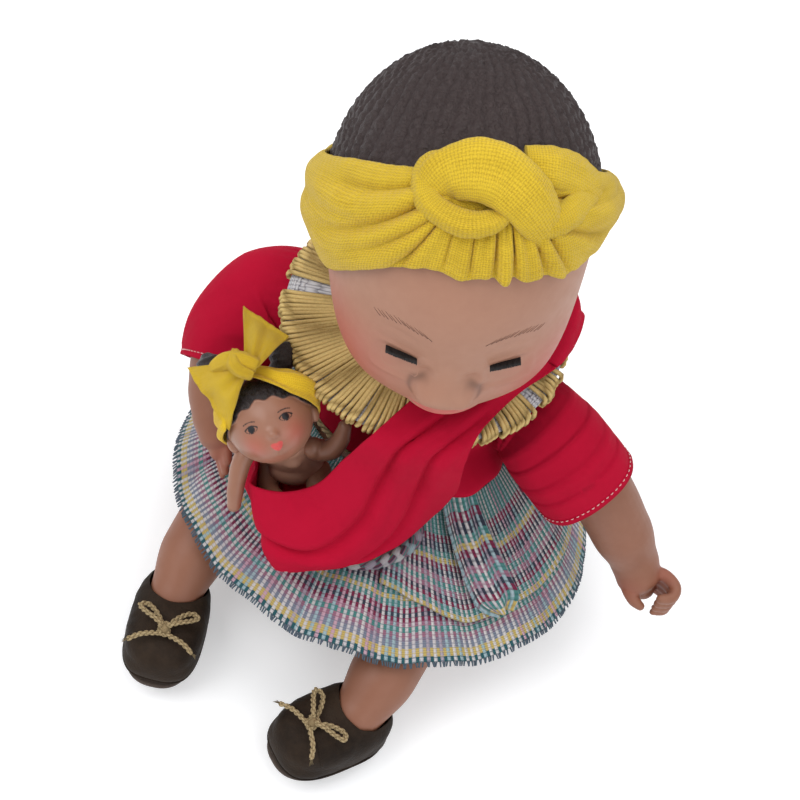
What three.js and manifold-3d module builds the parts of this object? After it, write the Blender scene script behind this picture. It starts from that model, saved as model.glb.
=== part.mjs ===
// A seated vinyl play doll in a blouse, skirt, headband and collar, with a baby doll in a cloth sling.
// Millimetres, +Z up. The doll faces -Y, its left side is at +X, and the origin is under its seat.
import * as THREE from 'three';
import { mergeVertices } from 'three/addons/utils/BufferGeometryUtils.js';
import Module from 'manifold-3d';

const wasm = await Module();
wasm.setup();

// Fits shared by all pieces
const gap = 0.3;
const looseGap = 0.6;
const overrun = 5;
const finest = 0.004;
const vinylWall = 3;

// Torso and neck
const torsoHeight = 142;
const hipHalfWidth = 47;
const torsoDepthShare = 0.78;
const seatRadius = 18;
const neckRadius = 16.5;
const neckLength = 18;
const neckTop = torsoHeight + neckLength;
const neckBore = 13;
const neckY = -4;

// Head
const headHalfWidth = 52;
const headHalfDepth = 62;
const headHalfHeight = 60;
const headLift = 72.8;
const headZ = neckTop + headLift;
const headY = -5.5;
const headTurn = 25;
const headNod = 7.7;
const headTilt = -3.5;
const hairRise = 2.2;
const furrowDepth = 1.4;
const hairRidges = 25;
const headNeckRadius = 18;

// Sleep eyes
const eyeRadius = 10.5;
const eyeX = 20;
const eyeY = -48;
const eyeZ = -13;
const eyeAxleRadius = 1.2;
const eyeAxleHalf = 27;
const eyeOpenHalf = 6.2;
const eyeDrop = 0.8;
const lashLength = 4.2;
const lashWidth = 12;
const eyeOpenWide = 7.9;
const lashThick = 1;
const weightDrop = 15;
const weightSize = 8;

// Headband
const bandThick = 2.4;
const bandFold = 1.4;

// Limbs of the doll
const shoulderX = 41.5;
const shoulderDrop = 18;
const shoulderZ = torsoHeight - shoulderDrop;
const shoulderY = -2;
const armRadius = 15;
const armReach = 86;
const fingerRadius = 3.4;
const hipX = 33.5;
const hipY = -14;
const hipZ = 27;
const thighHalfWidth = 16.5;
const thighHalfHeight = 21;
const kneeRadius = 17;
const ankleRadius = 12;
const kneeX = 50.5;
const kneeY = -66;
const kneeZ = 36.5;
const ankleX = 49.5;
const ankleY = -110;
const leftFootForward = 8;
const ankleZ = 24;
const stemRadius = 6.5;
const flangeRadius = 9.5;
const flangeX = 25;

// Shoes
const shoeLength = 58;
const shoeHalfWidth = 17.8;
const shoeHeight = 26;
const leather = 1.5;
const soleThick = 2.2;
const toeInLeft = 33;
const toeInRight = 17;
const shoePitch = 12;
const laceRadius = 1.4;
const bowHalfWidth = 14.5;
const bowBack = 17;
const slitHalfWidth = 3.2;
const shoeFloor = 4.8;
const shoeMiddle = 15;

// Clothes
const clothThick = 1.2;
const waistDrop = 64;
const waistZ = torsoHeight - waistDrop;
const waistRadius = 47.5;
const hemRadius = 101;
const hemCentreX = 9;
const hemCentreY = -12;
const hemZ = 27;
const hemTilt = 0.3;
const hemLowest = 3;
const skirtFold = 2;
const skirtFolds = 14;
const overskirtShare = 0.74;
const overKnotRadius = 6;
const blouseFlare = 13;
const blouseEase = 5;
const blouseRipple = 1;
const tieRadius = 2.4;
const collarOuter = 59;
const collarInner = 27;
const collarLift = 11;
const collarZ = torsoHeight + collarLift;
const collarThick = 3;
const collarSlope = 0.1;
const twineRadius = 0.9;
const twineTurns = 24;
const slingThick = 1.6;

// Baby doll
const babyHeadRadius = 18.5;
const babyTorsoLength = 42;
const babyTorsoRadius = 14;
const babyX = -35.4;
const babyY = -74.5;
const babyDrop = 4;
const babyZ = torsoHeight - babyDrop;
const wrapThick = 1.4;
const pinRadius = 2;
const babyArmRadius = 4.8;
const babyLegRadius = 5.2;

const V = (x, y, z) => new THREE.Vector3(x, y, z);
const rad = THREE.MathUtils.degToRad;
const blend = THREE.MathUtils.lerp;
const smooth = (x, low, high) => THREE.MathUtils.smoothstep(x, low, high);

const finishes = {
  skin: { color: 0x9c6f5a, roughness: 0.55, metalness: 0 },
  eye: { color: 0x2a1d18, roughness: 0.2, metalness: 0 },
  lash: { color: 0x14100f, roughness: 0.7, metalness: 0 },
  steel: { color: 0x9a9c9f, roughness: 0.4, metalness: 1 },
  plastic: { color: 0xd8d4cc, roughness: 0.5, metalness: 0 },
  linen: { color: 0xd2b62c, roughness: 0.9, metalness: 0 },
  red: { color: 0xb01f3c, roughness: 0.85, metalness: 0 },
  weave: { color: 0x8a8f92, roughness: 0.95, metalness: 0 },
  twine: { color: 0xc8ab72, roughness: 0.9, metalness: 0 },
  leather: { color: 0x3a2e26, roughness: 0.6, metalness: 0 },
  sole: { color: 0x54453a, roughness: 0.8, metalness: 0 },
  babySkin: { color: 0x8a6452, roughness: 0.5, metalness: 0 },
};

// Turns a geometry's faces outwards, judged by its signed volume.
function facingOut(geometry) {
  const p = geometry.attributes.position;
  const index = geometry.index;
  const a = V(0, 0, 0);
  const b = V(0, 0, 0);
  const c = V(0, 0, 0);
  let volume = 0;
  for (let i = 0; i < index.count; i += 3) {
    a.fromBufferAttribute(p, index.getX(i));
    b.fromBufferAttribute(p, index.getX(i + 1));
    c.fromBufferAttribute(p, index.getX(i + 2));
    volume += a.dot(b.cross(c));
  }
  if (volume < 0) {
    for (let i = 0; i < index.count; i += 3) {
      const held = index.getX(i);
      index.setX(i, index.getX(i + 1));
      index.setX(i + 1, held);
    }
  }
  return geometry;
}

function geometryFrom(points, faces) {
  const geometry = new THREE.BufferGeometry();
  geometry.setAttribute('position',
    new THREE.Float32BufferAttribute(points.flatMap((p) => [p.x, p.y, p.z]), 3));
  geometry.setIndex(faces.flat());
  return facingOut(geometry);
}

// Joins rings of points in a skin. Open ends are closed by a fan round their middle, a looped skin has
// none.
function loft(rings, looped = false) {
  const count = rings[0].length;
  const points = rings.flat();
  const faces = [];
  const last = looped ? rings.length : rings.length - 1;
  for (let i = 0; i < last; i++) {
    const next = (i + 1) % rings.length;
    for (let j = 0; j < count; j++) {
      const k = (j + 1) % count;
      faces.push([i * count + j, i * count + k, next * count + k]);
      faces.push([i * count + j, next * count + k, next * count + j]);
    }
  }
  if (!looped) {
    for (const [ring, order] of [[0, 1], [rings.length - 1, -1]]) {
      const middle = rings[ring].reduce((sum, p) => sum.add(p), V(0, 0, 0)).divideScalar(count);
      points.push(middle);
      for (let j = 0; j < count; j++) {
        const pair = [ring * count + j, ring * count + ((j + 1) % count)];
        faces.push(order > 0 ? [points.length - 1, pair[1], pair[0]] : [points.length - 1, pair[0], pair[1]]);
      }
    }
  }
  return geometryFrom(points, faces);
}

// A sheet of cloth as a closed solid: grid[station][across], thickened evenly along its normals.
function clothSolid(grid, thick, looped) {
  const rows = grid.length;
  const columns = grid[0].length;
  const at = (i, j) => grid[looped ? (i + rows) % rows : Math.min(Math.max(i, 0), rows - 1)][
    Math.min(Math.max(j, 0), columns - 1)];
  const rings = grid.map((row, i) => {
    const normals = row.map((_, j) => {
      const along = at(i + 1, j).clone().sub(at(i - 1, j));
      const across = at(i, j + 1).clone().sub(at(i, j - 1));
      return along.cross(across).normalize();
    });
    const outer = row.map((p, j) => p.clone().addScaledVector(normals[j], thick / 2));
    const inner = row.map((p, j) => p.clone().addScaledVector(normals[j], -thick / 2));
    return [...outer, ...inner.reverse()];
  });
  const geometry = loft(rings, looped);
  if (looped) return geometry;
  // an open sheet's two ends are flat strips, so each is stitched across in pairs and not by a fan
  const count = rings[0].length;
  const points = rings.flat();
  const faces = [];
  for (let i = 0; i < rows - 1; i++) {
    for (let j = 0; j < count; j++) {
      const k = (j + 1) % count;
      faces.push([i * count + j, i * count + k, (i + 1) * count + k]);
      faces.push([i * count + j, (i + 1) * count + k, (i + 1) * count + j]);
    }
  }
  for (let j = 0; j < columns - 1; j++) {
    const other = count - 1 - j;
    const end = (rows - 1) * count;
    faces.push([j, other - 1, j + 1]);
    faces.push([j, other, other - 1]);
    faces.push([end + j, end + j + 1, end + other - 1]);
    faces.push([end + j, end + other - 1, end + other]);
  }
  return geometryFrom(points, faces);
}

// A round or oval limb along a smooth line through the given places, each with its two half sizes.
function limb(stations, sides, steps) {
  const path = new THREE.CatmullRomCurve3(stations.map((s) => s.at), false, 'centripetal');
  const rings = [];
  const sizeAt = (t, key) => {
    const place = t * (stations.length - 1);
    const i = Math.min(Math.floor(place), stations.length - 2);
    const f = place - i;
    const eased = f * f * (3 - 2 * f);
    return blend(stations[i][key], stations[i + 1][key], eased);
  };
  for (let i = 0; i <= steps; i++) {
    const t = i / steps;
    const centre = path.getPoint(t);
    const forward = path.getTangent(t);
    const side = V(0, 0, 1).cross(forward).normalize();
    const up = forward.clone().cross(side);
    const ring = [];
    for (let j = 0; j < sides; j++) {
      const turn = (2 * Math.PI * j) / sides;
      ring.push(centre.clone()
        .addScaledVector(side, Math.cos(turn) * sizeAt(t, 'wide'))
        .addScaledVector(up, Math.sin(turn) * sizeAt(t, 'high')));
    }
    rings.push(ring);
  }
  return loft(rings);
}

// A closed skin round a middle: reach(direction) gives how far it lies that way.
function blob(reach, around, levels) {
  const points = [];
  const faces = [];
  for (let i = 0; i <= levels; i++) {
    const lift = Math.PI * (i / levels - 0.5);
    const count = i === 0 || i === levels ? 1 : around;
    for (let j = 0; j < count; j++) {
      const turn = (2 * Math.PI * j) / around;
      const d = V(Math.cos(lift) * Math.sin(turn), -Math.cos(lift) * Math.cos(turn), Math.sin(lift));
      points.push(reach(d));
    }
  }
  const start = (i) => (i === 0 ? 0 : 1 + (i - 1) * around);
  for (let j = 0; j < around; j++) {
    const k = (j + 1) % around;
    faces.push([0, start(1) + j, start(1) + k]);
    for (let i = 1; i < levels - 1; i++) {
      faces.push([start(i) + j, start(i + 1) + k, start(i) + k]);
      faces.push([start(i) + j, start(i + 1) + j, start(i + 1) + k]);
    }
    faces.push([start(levels), start(levels - 1) + k, start(levels - 1) + j]);
  }
  return geometryFrom(points, faces);
}

function ellipsoid(middle, radii, around = 16, levels = 10) {
  return blob((d) => V(middle.x + d.x * radii.x, middle.y + d.y * radii.y, middle.z + d.z * radii.z), around,
    levels);
}

// A rod between two points.
function rod(from, to, radius, sides = 16) {
  const along = to.clone().sub(from);
  const geometry = new THREE.CylinderGeometry(radius, radius, along.length(), sides);
  const turn = new THREE.Quaternion().setFromUnitVectors(V(0, 1, 0), along.clone().normalize());
  geometry.applyQuaternion(turn);
  geometry.translate(...from.clone().add(to).divideScalar(2).toArray());
  return geometry;
}

function box(from, to) {
  const size = to.clone().sub(from);
  const geometry = new THREE.BoxGeometry(size.x, size.y, size.z);
  geometry.translate(...from.clone().add(to).divideScalar(2).toArray());
  return geometry;
}

// A solid of revolution about +Z from [radius, height] pairs that start and end on the axis.
function turned(profile, sides, depthShare = 1) {
  const geometry = new THREE.LatheGeometry(profile.map(([r, z]) => new THREE.Vector2(r, z)), sides);
  geometry.rotateX(Math.PI / 2);
  geometry.scale(1, depthShare, 1);
  return geometry;
}

function solid(geometry) {
  const bare = geometry.clone();
  for (const name of Object.keys(bare.attributes)) {
    if (name !== 'position') bare.deleteAttribute(name);
  }
  const merged = facingOut(mergeVertices(bare, 1e-4));
  return new wasm.Manifold(new wasm.Mesh({
    numProp: 3,
    vertProperties: new Float32Array(merged.attributes.position.array),
    triVerts: new Uint32Array(merged.index.array),
  }));
}

function geometryOf(manifold) {
  const mesh = manifold.simplify(finest).getMesh();
  const geometry = new THREE.BufferGeometry();
  geometry.setAttribute('position', new THREE.BufferAttribute(new Float32Array(mesh.vertProperties), 3));
  geometry.setIndex(new THREE.BufferAttribute(new Uint32Array(mesh.triVerts), 1));
  return geometry;
}

const largest = (manifold) => manifold.decompose().reduce((a, b) => (a.volume() > b.volume() ? a : b));
const cut = (body, ...tools) => geometryOf(tools.reduce((s, t) => s.subtract(solid(t)), solid(body)));
const join = (body, ...more) => geometryOf(more.reduce((s, t) => s.add(solid(t)), solid(body)));
const common = (body, other) => geometryOf(solid(body).intersect(solid(other)));

function add(group, name, geometry, finish) {
  const mesh = new THREE.Mesh(geometry, new THREE.MeshStandardMaterial(finishes[finish]));
  mesh.name = name;
  group.add(mesh);
  return mesh;
}

const doll = new THREE.Group();

// TORSO: a hollow vinyl body, flat where it sits, with holes for the neck plug and the four limbs.
// Each row is [share of the hip's half width, share of the torso's height].
const torsoShares = [
  [0.64, 0.028], [0.9, 0.1], [1, 0.21], [0.98, 0.35], [0.92, 0.53], [0.9, 0.7],
  [0.87, 0.85], [0.78, 0.94], [0.58, 1], [0.42, 1.03],
];
const torsoRow = ([r, z], inset) => [r * hipHalfWidth - inset, z * torsoHeight];

function torsoHalfWidthAt(z) {
  const rows = torsoShares.map((row) => torsoRow(row, 0));
  for (let i = 1; i < rows.length; i++) {
    if (z <= rows[i][1]) {
      const f = (z - rows[i - 1][1]) / (rows[i][1] - rows[i - 1][1]);
      return blend(rows[i - 1][0], rows[i][0], Math.max(f, 0));
    }
  }
  return neckRadius;
}

// The hollow of the torso, with a boss left round each limb's hole.
function torsoHollow(inset) {
  const hollow = turned([
    [0, vinylWall + inset], [seatRadius - vinylWall, vinylWall + inset],
    ...torsoShares.slice(1, -2).map((row) => torsoRow(row, vinylWall * 1.3 + inset)),
    [neckBore + vinylWall - inset, torsoHeight - vinylWall - inset], [0, torsoHeight - vinylWall - inset],
  ], 12, torsoDepthShare);
  const bosses = [[hipY, hipZ, thighHalfHeight], [shoulderY, shoulderZ, armRadius]].flatMap(([y, z, r]) =>
    [-1, 1].flatMap((side) => [
      rod(V(side * (flangeX + gap), y, z), V(side * hipHalfWidth * 1.2, y, z), flangeRadius + vinylWall, 10),
      rod(V(side * ((z === hipZ ? hipX : shoulderX) - vinylWall), y, z), V(side * hipHalfWidth * 1.2, y, z),
        r + vinylWall, 10),
    ]));
  return bosses.reduce((s, t) => s.subtract(solid(t)), solid(hollow));
}

function makeTorso() {
  const outer = turned([
    [0, 0], [seatRadius, 0], ...torsoShares.map((row) => torsoRow(row, 0)),
      [0, torsoShares.at(-1)[1] * torsoHeight],
  ], 16, torsoDepthShare);
  const neck = rod(V(0, neckY, torsoHeight / 2), V(0, neckY, neckTop), neckRadius, 16);
  const bore = rod(V(0, neckY, torsoHeight - vinylWall * 2), V(0, neckY, neckTop + overrun), neckBore, 16);
  let body = solid(outer).add(solid(neck)).subtract(torsoHollow(0)).subtract(solid(bore));
  for (const side of [-1, 1]) {
    const far = side * (hipHalfWidth + overrun);
    const hipDish = rod(V(side * hipX, hipY, hipZ), V(far, hipY, hipZ), thighHalfHeight + looseGap * 3, 16);
    const armDish = rod(V(side * shoulderX, shoulderY, shoulderZ), V(far, shoulderY, shoulderZ), armRadius
      + looseGap, 14);
    const hipHole = rod(V(side * flangeX * 0.6, hipY, hipZ), V(far, hipY, hipZ), stemRadius + gap, 12);
    const armHole = rod(V(side * flangeX * 0.6, shoulderY, shoulderZ), V(far, shoulderY, shoulderZ),
      stemRadius + gap, 12);
    for (const tool of [hipDish, armDish, hipHole, armHole]) body = body.subtract(solid(tool));
  }
  add(doll, 'torso', geometryOf(body), 'skin');

  const shelf = torsoHeight - vinylWall;
  const plugTop = headZ - headHalfHeight + vinylWall * 2;
  const plug = turned([
    [0, shelf - vinylWall - gap], [neckBore + vinylWall - gap * 2, shelf - vinylWall - gap],
    [neckBore + vinylWall - gap * 2, shelf - gap], [neckBore - gap, shelf - gap], [neckBore - gap, plugTop],
    [neckBore + vinylWall, plugTop], [neckBore + vinylWall, plugTop + vinylWall], [0, plugTop + vinylWall],
  ], 16);
  plug.translate(0, neckY, 0);
  // the lower flange lies under the torso's shoulder skin, whose hollow is oval
  const above = box(V(-neckBore * 2, neckY - neckBore * 2, shelf - gap / 2),
    V(neckBore * 2, neckY + neckBore * 2, plugTop + headHalfHeight));
  add(doll, 'neck_plug', geometryOf(largest(solid(plug).intersect(torsoHollow(gap).add(solid(above))))),
    'plastic');
}

// HEAD: built round its own middle, face towards -Y, then turned and nodded as a group.
const head = new THREE.Group();
head.position.set(0, headY, headZ);
head.rotation.set(rad(headNod), rad(headTilt), rad(headTurn), 'ZYX');
doll.add(head);
const headInverse = () => {
  head.updateMatrix();
  return head.matrix.clone().invert();
};

// Soft swellings on the egg of the head: direction, height as a share of the head's half width, and spread.
const faceShares = [
  [0, -0.76, -0.6, 0.17, 0.45], [0.42, -0.76, -0.5, 0.07, 0.25], [-0.42, -0.76, -0.5, 0.07, 0.25],
  [0, -0.93, -0.34, 0.12, 0.085], [0.13, -0.91, -0.38, 0.04, 0.06], [-0.13, -0.91, -0.38, 0.04, 0.06],
  [0, -0.83, -0.55, 0.035, 0.12], [0, -0.66, -0.75, 0.06, 0.16],
  [0, -0.9, 0.35, 0.03, 0.35], [0.3, -0.93, -0.2, -0.045, 0.16], [-0.3, -0.93, -0.2, -0.045, 0.16],
];

// Where the hair lies: all of the head above the hairline, which comes down at the back to the neck.
const hairShare = (d) => Math.max(smooth(d.z + 0.42 * d.y, -0.02, 0.14),
  smooth(d.y, 0.05, 0.2) * smooth(d.z, -0.55, -0.4));

function headReach(direction, inset = 0) {
  const d = direction.clone().normalize();
  const power = blend(2.05, 2.5, smooth(-d.z, -0.1, 0.6));
  const size = ((Math.abs(d.x) / headHalfWidth) ** power + (Math.abs(d.y) / headHalfDepth) ** power
    + (Math.abs(d.z) / headHalfHeight) ** power) ** (-1 / power);
  const swell = faceShares.reduce((sum, [x, y, z, height, spread]) => {
    const away = V(x, y, z).normalize().distanceToSquared(d);
    return sum + height * Math.exp(-away / (2 * spread * spread));
  }, 0) * headHalfWidth;
  return d.multiplyScalar(size + swell + hairRise * hairShare(d) - inset);
}

// The hair is combed down from a whorl at the back of the crown, in shallow furrows that end at the
// hairline.
const whorl = V(0, 0.8, 0.6);
function combedReach(direction) {
  const turn = Math.atan2(direction.y, direction.x);
  const fromWhorl = new THREE.Quaternion().setFromUnitVectors(V(0, 0, 1), whorl);
  const d = direction.clone().applyQuaternion(fromWhorl);
  const spread = smooth(Math.hypot(direction.x, direction.y), 0.15, 0.55);
  return headReach(d, furrowDepth * hairShare(d) * spread * (1 - Math.cos(hairRidges * turn)) / 2);
}

function makeHead() {
  const toLocal = headInverse();
  const place = (x, y, z) => V(x, y, z).applyMatrix4(toLocal);
  const skin = blob(combedReach, hairRidges * 2, 16);
  const cavity = blob((d) => headReach(d, vinylWall * 1.6), 14, 10);
  const neckBottom = neckTop + gap;
  const cavityFloor = headZ - headHalfHeight + vinylWall * 2;
  const neck = rod(place(0, neckY, neckBottom), place(0, neckY, headZ - headHalfHeight / 2), headNeckRadius,
    16);
  const bore = rod(place(0, neckY, neckBottom - overrun), place(0, neckY, headZ), neckBore, 16);
  const seat = rod(place(0, neckY, cavityFloor - gap), place(0, neckY, headZ), neckBore + vinylWall + gap,
    16);
  let shell = cut(join(skin, neck), cavity, bore, seat);
  for (const side of [-1, 1]) {
    const pocket = ellipsoid(V(side * eyeX, eyeY, eyeZ), V(1, 1, 1).multiplyScalar(eyeRadius + gap * 1.5),
      12, 8);
    // the opening is a rounded oblong, cut straight forward from the middle of the eye
    const outline = new THREE.Shape();
    const count = 16;
    for (let i = 0; i < count; i++) {
      const turn = (2 * Math.PI * i) / count;
      const across = Math.sign(Math.cos(turn)) * Math.abs(Math.cos(turn)) ** 0.5 * eyeOpenWide;
      const up = Math.sign(Math.sin(turn)) * Math.abs(Math.sin(turn)) ** 0.5 * eyeOpenHalf;
      if (i === 0) outline.moveTo(across, up);
      else outline.lineTo(across, up);
    }
    const opening = new THREE.ExtrudeGeometry(outline, { depth: headHalfDepth, bevelEnabled: false });
    opening.rotateX(Math.PI / 2);
    opening.translate(side * eyeX, eyeY, eyeZ - eyeDrop);
    shell = cut(shell, pocket, opening);
  }
  add(head, 'head_shell', shell, 'skin');

  // the eye frame is a bar across the hollow, with two plates that carry the axle
  const within = blob((d) => headReach(d, vinylWall * 1.6 + gap * 2), 14, 10);
  const frameDepth = eyeAxleRadius * 4;
  const frameBack = eyeY + eyeRadius + frameDepth;
  const bar = box(V(-headHalfWidth * 1.2, frameBack, eyeZ - frameDepth),
    V(headHalfWidth * 1.2, frameBack + frameDepth, eyeZ + frameDepth));
  const plateX = eyeX - eyeRadius - eyeAxleRadius * 2.6;
  const plates = [-1, 1].map((side) => box(
    V(side * plateX - eyeAxleRadius, eyeY - eyeAxleRadius * 2.5, eyeZ - frameDepth / 2),
    V(side * plateX + eyeAxleRadius, frameBack + gap, eyeZ + frameDepth / 2)));
  const axleHole = rod(V(-eyeAxleHalf, eyeY, eyeZ), V(eyeAxleHalf, eyeY, eyeZ), eyeAxleRadius + gap, 12);
  add(head, 'eye_frame', cut(common(join(bar, ...plates), within), axleHole), 'plastic');
}

function makeEyes() {
  add(head, 'eye_axle', rod(V(-eyeAxleHalf, eyeY, eyeZ), V(eyeAxleHalf, eyeY, eyeZ), eyeAxleRadius, 10),
    'steel');
  for (const [name, side] of [['left', 1], ['right', -1]]) {
    const ball = ellipsoid(V(side * eyeX, eyeY, eyeZ), V(1, 1, 1).multiplyScalar(eyeRadius), 12, 8);
    const hole = rod(V(0, eyeY, eyeZ), V(side * (eyeAxleHalf + gap), eyeY, eyeZ), eyeAxleRadius + gap, 12);
    add(head, `eye_${name}`, cut(ball, hole), 'eye');
    const grid = [];
    for (let i = 0; i <= 6; i++) {
      const across = (i / 6 - 0.5) * lashWidth;
      const bow = Math.sqrt(Math.max(eyeRadius ** 2 - across ** 2, 0));
      grid.push([gap * 2, lashLength / 2, lashLength].map((out, j) => {
        const r = bow + out;
        const lift = rad(19) - rad(2) * j;
        return V(side * eyeX + across * (1 + 0.06 * j), eyeY - r * Math.cos(lift), eyeZ + r * Math.sin(lift));
      }));
    }
    add(head, `lashes_${name}`, clothSolid(grid, lashThick, false), 'lash');
  }
  const ring = rod(V(-eyeAxleRadius * 1.6, eyeY, eyeZ), V(eyeAxleRadius * 1.6, eyeY, eyeZ), eyeAxleRadius
    * 2.6, 12);
  const arm = box(V(-eyeAxleRadius, eyeY - eyeAxleRadius, eyeZ - weightDrop),
    V(eyeAxleRadius, eyeY + eyeAxleRadius, eyeZ));
  const lump = box(
    V(-weightSize / 2, eyeY - weightSize / 8, eyeZ - weightDrop - weightSize / 2),
    V(weightSize / 2, eyeY + weightSize / 2, eyeZ - weightDrop + weightSize / 2));
  const hole = rod(V(-weightSize, eyeY, eyeZ), V(weightSize, eyeY, eyeZ), eyeAxleRadius + gap, 12);
  add(head, 'eye_weight', cut(join(ring, arm, lump), hole), 'steel');
}

// HEADBAND: a wide strip round the head, high at the front. Latitudes follow the angle round the head.
const bandMiddle = (turn) => {
  const away = Math.abs(Math.atan2(Math.sin(turn), Math.cos(turn)));
  const dip = smooth(away, rad(60), rad(120)) * (1 - smooth(away, rad(125), rad(180)));
  return rad(13) + rad(44) * Math.cos(turn) + rad(3) * Math.sin(turn) - rad(13) * dip;
};
const bandHalf = (turn) => {
  const fromFront = Math.atan2(Math.sin(turn), Math.cos(turn));
  const fromRight = Math.atan2(Math.sin(turn + rad(75)), Math.cos(turn + rad(75)));
  return rad(15) - rad(5) * Math.exp(-((fromFront / rad(32)) ** 2)) + rad(5)
    * Math.exp(-((fromRight / rad(35)) ** 2));
};

function bandPoint(turn, share, out) {
  const lift = bandMiddle(turn) + bandHalf(turn) * share;
  const d = V(Math.cos(lift) * Math.sin(turn), -Math.cos(lift) * Math.cos(turn), Math.sin(lift));
  return headReach(d, -out);
}

function makeHeadband() {
  const grid = [];
  const wider = [];
  const stations = 30;
  const rows = 5;
  for (let i = 0; i < stations; i++) {
    const turn = (2 * Math.PI * i) / stations;
    const row = [];
    const wideRow = [];
    for (let j = 0; j < rows; j++) {
      const share = (2 * j) / (rows - 1) - 1;
      const pleat = Math.cos(share * 5.5 + turn * 1.3) + 1;
      const swell = bandFold * pleat * (1 - share * share) + bandThick * 1.5 * (1 - Math.abs(share));
      row.push(bandPoint(turn, share, bandThick / 2 + gap * 2.5 + swell));
      wideRow.push(bandPoint(turn, share * 1.08, bandThick / 2 + gap * 2.5 + swell));
    }
    grid.push(row);
    wider.push(wideRow);
  }
  const band = clothSolid(grid, bandThick, true);
  const knotLift = bandMiddle(0) + rad(6);
  const seatD = V(0, -Math.cos(knotLift), Math.sin(knotLift));
  const middle = headReach(seatD, -bandThick * 3.2);
  const out = seatD;
  const across = V(1, 0, 0);
  const up = across.clone().cross(out).multiplyScalar(-1);
  const knotWide = headHalfWidth * 0.48;
  const knotHigh = headHalfWidth * 0.3;
  const knotDeep = headHalfWidth * 0.15;
  const knot = blob((d) => {
    const twist = 1 + 0.1 * Math.sin(3 * Math.atan2(d.z, d.x) + 1) + 0.07 * Math.cos(5 * d.x + 3 * d.z);
    return middle.clone()
      .addScaledVector(across, d.x * knotWide * twist)
      .addScaledVector(up, d.z * knotHigh * twist)
      .addScaledVector(out, -d.y * knotDeep * twist);
  }, 12, 8);
  // the knot takes its seat out of the band's front
  const keepOut = clothSolid(wider, bandThick + gap * 3, true);
  const underBand = blob((d) => headReach(d, -bandThick), 24, 16);
  const trimmed = largest(solid(knot).subtract(solid(keepOut)).subtract(solid(underBand))
    .subtract(solid(band)));
  add(head, 'headband', band, 'linen');
  add(head, 'headband_knot', geometryOf(trimmed), 'linen');
}

// COLLAR: a flat ring of cloth, wound all round with twine.
function collarPlace(turn, radius, lift) {
  return V(radius * Math.cos(turn), neckY + radius * Math.sin(turn),
    collarZ + (collarOuter - radius) * collarSlope + lift);
}

function makeCollar() {
  const stations = 24;
  const core = [];
  const half = collarThick / 2;
  for (let i = 0; i < stations; i++) {
    const turn = (2 * Math.PI * i) / stations;
    core.push([
      collarPlace(turn, collarInner, -half), collarPlace(turn, collarOuter, -half),
      collarPlace(turn, collarOuter + half, 0), collarPlace(turn, collarOuter, half),
      collarPlace(turn, collarInner, half), collarPlace(turn, collarInner - half, 0),
    ]);
  }
  add(doll, 'collar', loft(core, true), 'weave');

  const clear = twineRadius + gap;
  const stepsPerTurn = 8;
  const swept = rad(352);
  const line = [];
  const middleRadius = (collarInner + collarOuter) / 2;
  const halfWidth = (collarOuter - collarInner) / 2 + half + clear * 1.6;
  const halfThick = half + clear * 1.35;
  for (let i = 0; i <= twineTurns * stepsPerTurn; i++) {
    const wind = (2 * Math.PI * i) / stepsPerTurn;
    const turn = rad(-90) + (swept * i) / (twineTurns * stepsPerTurn);
    const c = Math.cos(wind);
    const s = Math.sin(wind);
    const squareness = 0.2;
    const r = middleRadius + halfWidth * Math.sign(c) * Math.abs(c) ** squareness;
    const lift = halfThick * Math.sign(s) * Math.abs(s) ** squareness;
    line.push(collarPlace(turn, r, lift));
  }
  let nearest = Infinity;
  for (let i = 0; i < line.length; i++) {
    for (let j = i + stepsPerTurn / 2 + 1; j < line.length; j++) {
      nearest = Math.min(nearest, line[i].distanceTo(line[j]) - 2 * twineRadius);
    }
  }
  console.log(`collar winding: ${twineTurns} loops, least gap to itself ${nearest.toFixed(2)} mm`);
  const sides = 4;
  const rings = line.map((p, i) => {
    const before = line[Math.max(i - 1, 0)];
    const after = line[Math.min(i + 1, line.length - 1)];
    const forward = after.clone().sub(before).normalize();
    const around = V(-p.y + neckY, p.x, 0).normalize();
    const side = around.clone().addScaledVector(forward, -around.dot(forward)).normalize();
    const up = forward.clone().cross(side);
    return Array.from({ length: sides }, (_, k) => {
      const turn = (2 * Math.PI * k) / sides;
      return p.clone().addScaledVector(side, Math.cos(turn) * twineRadius)
        .addScaledVector(up, Math.sin(turn) * twineRadius);
    });
  });
  add(doll, 'collar_winding', loft(rings), 'twine');
}

// ARMS: vinyl, each with a stem through the torso's side and a flange inside it.
function stemOf(side, from, y, z) {
  const stem = rod(V(side * from, y, z), V(side * (flangeX - gap), y, z), stemRadius, 12);
  const flange = rod(V(side * (flangeX - vinylWall), y, z), V(side * flangeX, y, z), flangeRadius, 14);
  return [stem, flange];
}

// Empties a limb down to its wall. The hollow opens through the stem.
function hollowed(whole, line, side, from, y, z) {
  const inner = limb(line.map((s) => ({ at: s.at, wide: s.wide - vinylWall, high: s.high - vinylWall })), 8,
    7);
  const edge = side * (from + vinylWall);
  const keep = box(V(Math.min(edge, side * armReach * 2), -armReach * 2, 0),
    V(Math.max(edge, side * armReach * 2), armReach, neckTop));
  const bore = rod(V(side * (flangeX - overrun), y, z), V(side * (from + overrun * 1.6), y, z), stemRadius
    - vinylWall, 10);
  return geometryOf(solid(whole).subtract(solid(inner).intersect(solid(keep))).subtract(solid(bore)));
}

const stationsFrom = (rows) =>
  rows.map(([x, y, z, wide, high]) => ({ at: V(x, y, z), wide, high: high ?? wide }));

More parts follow.
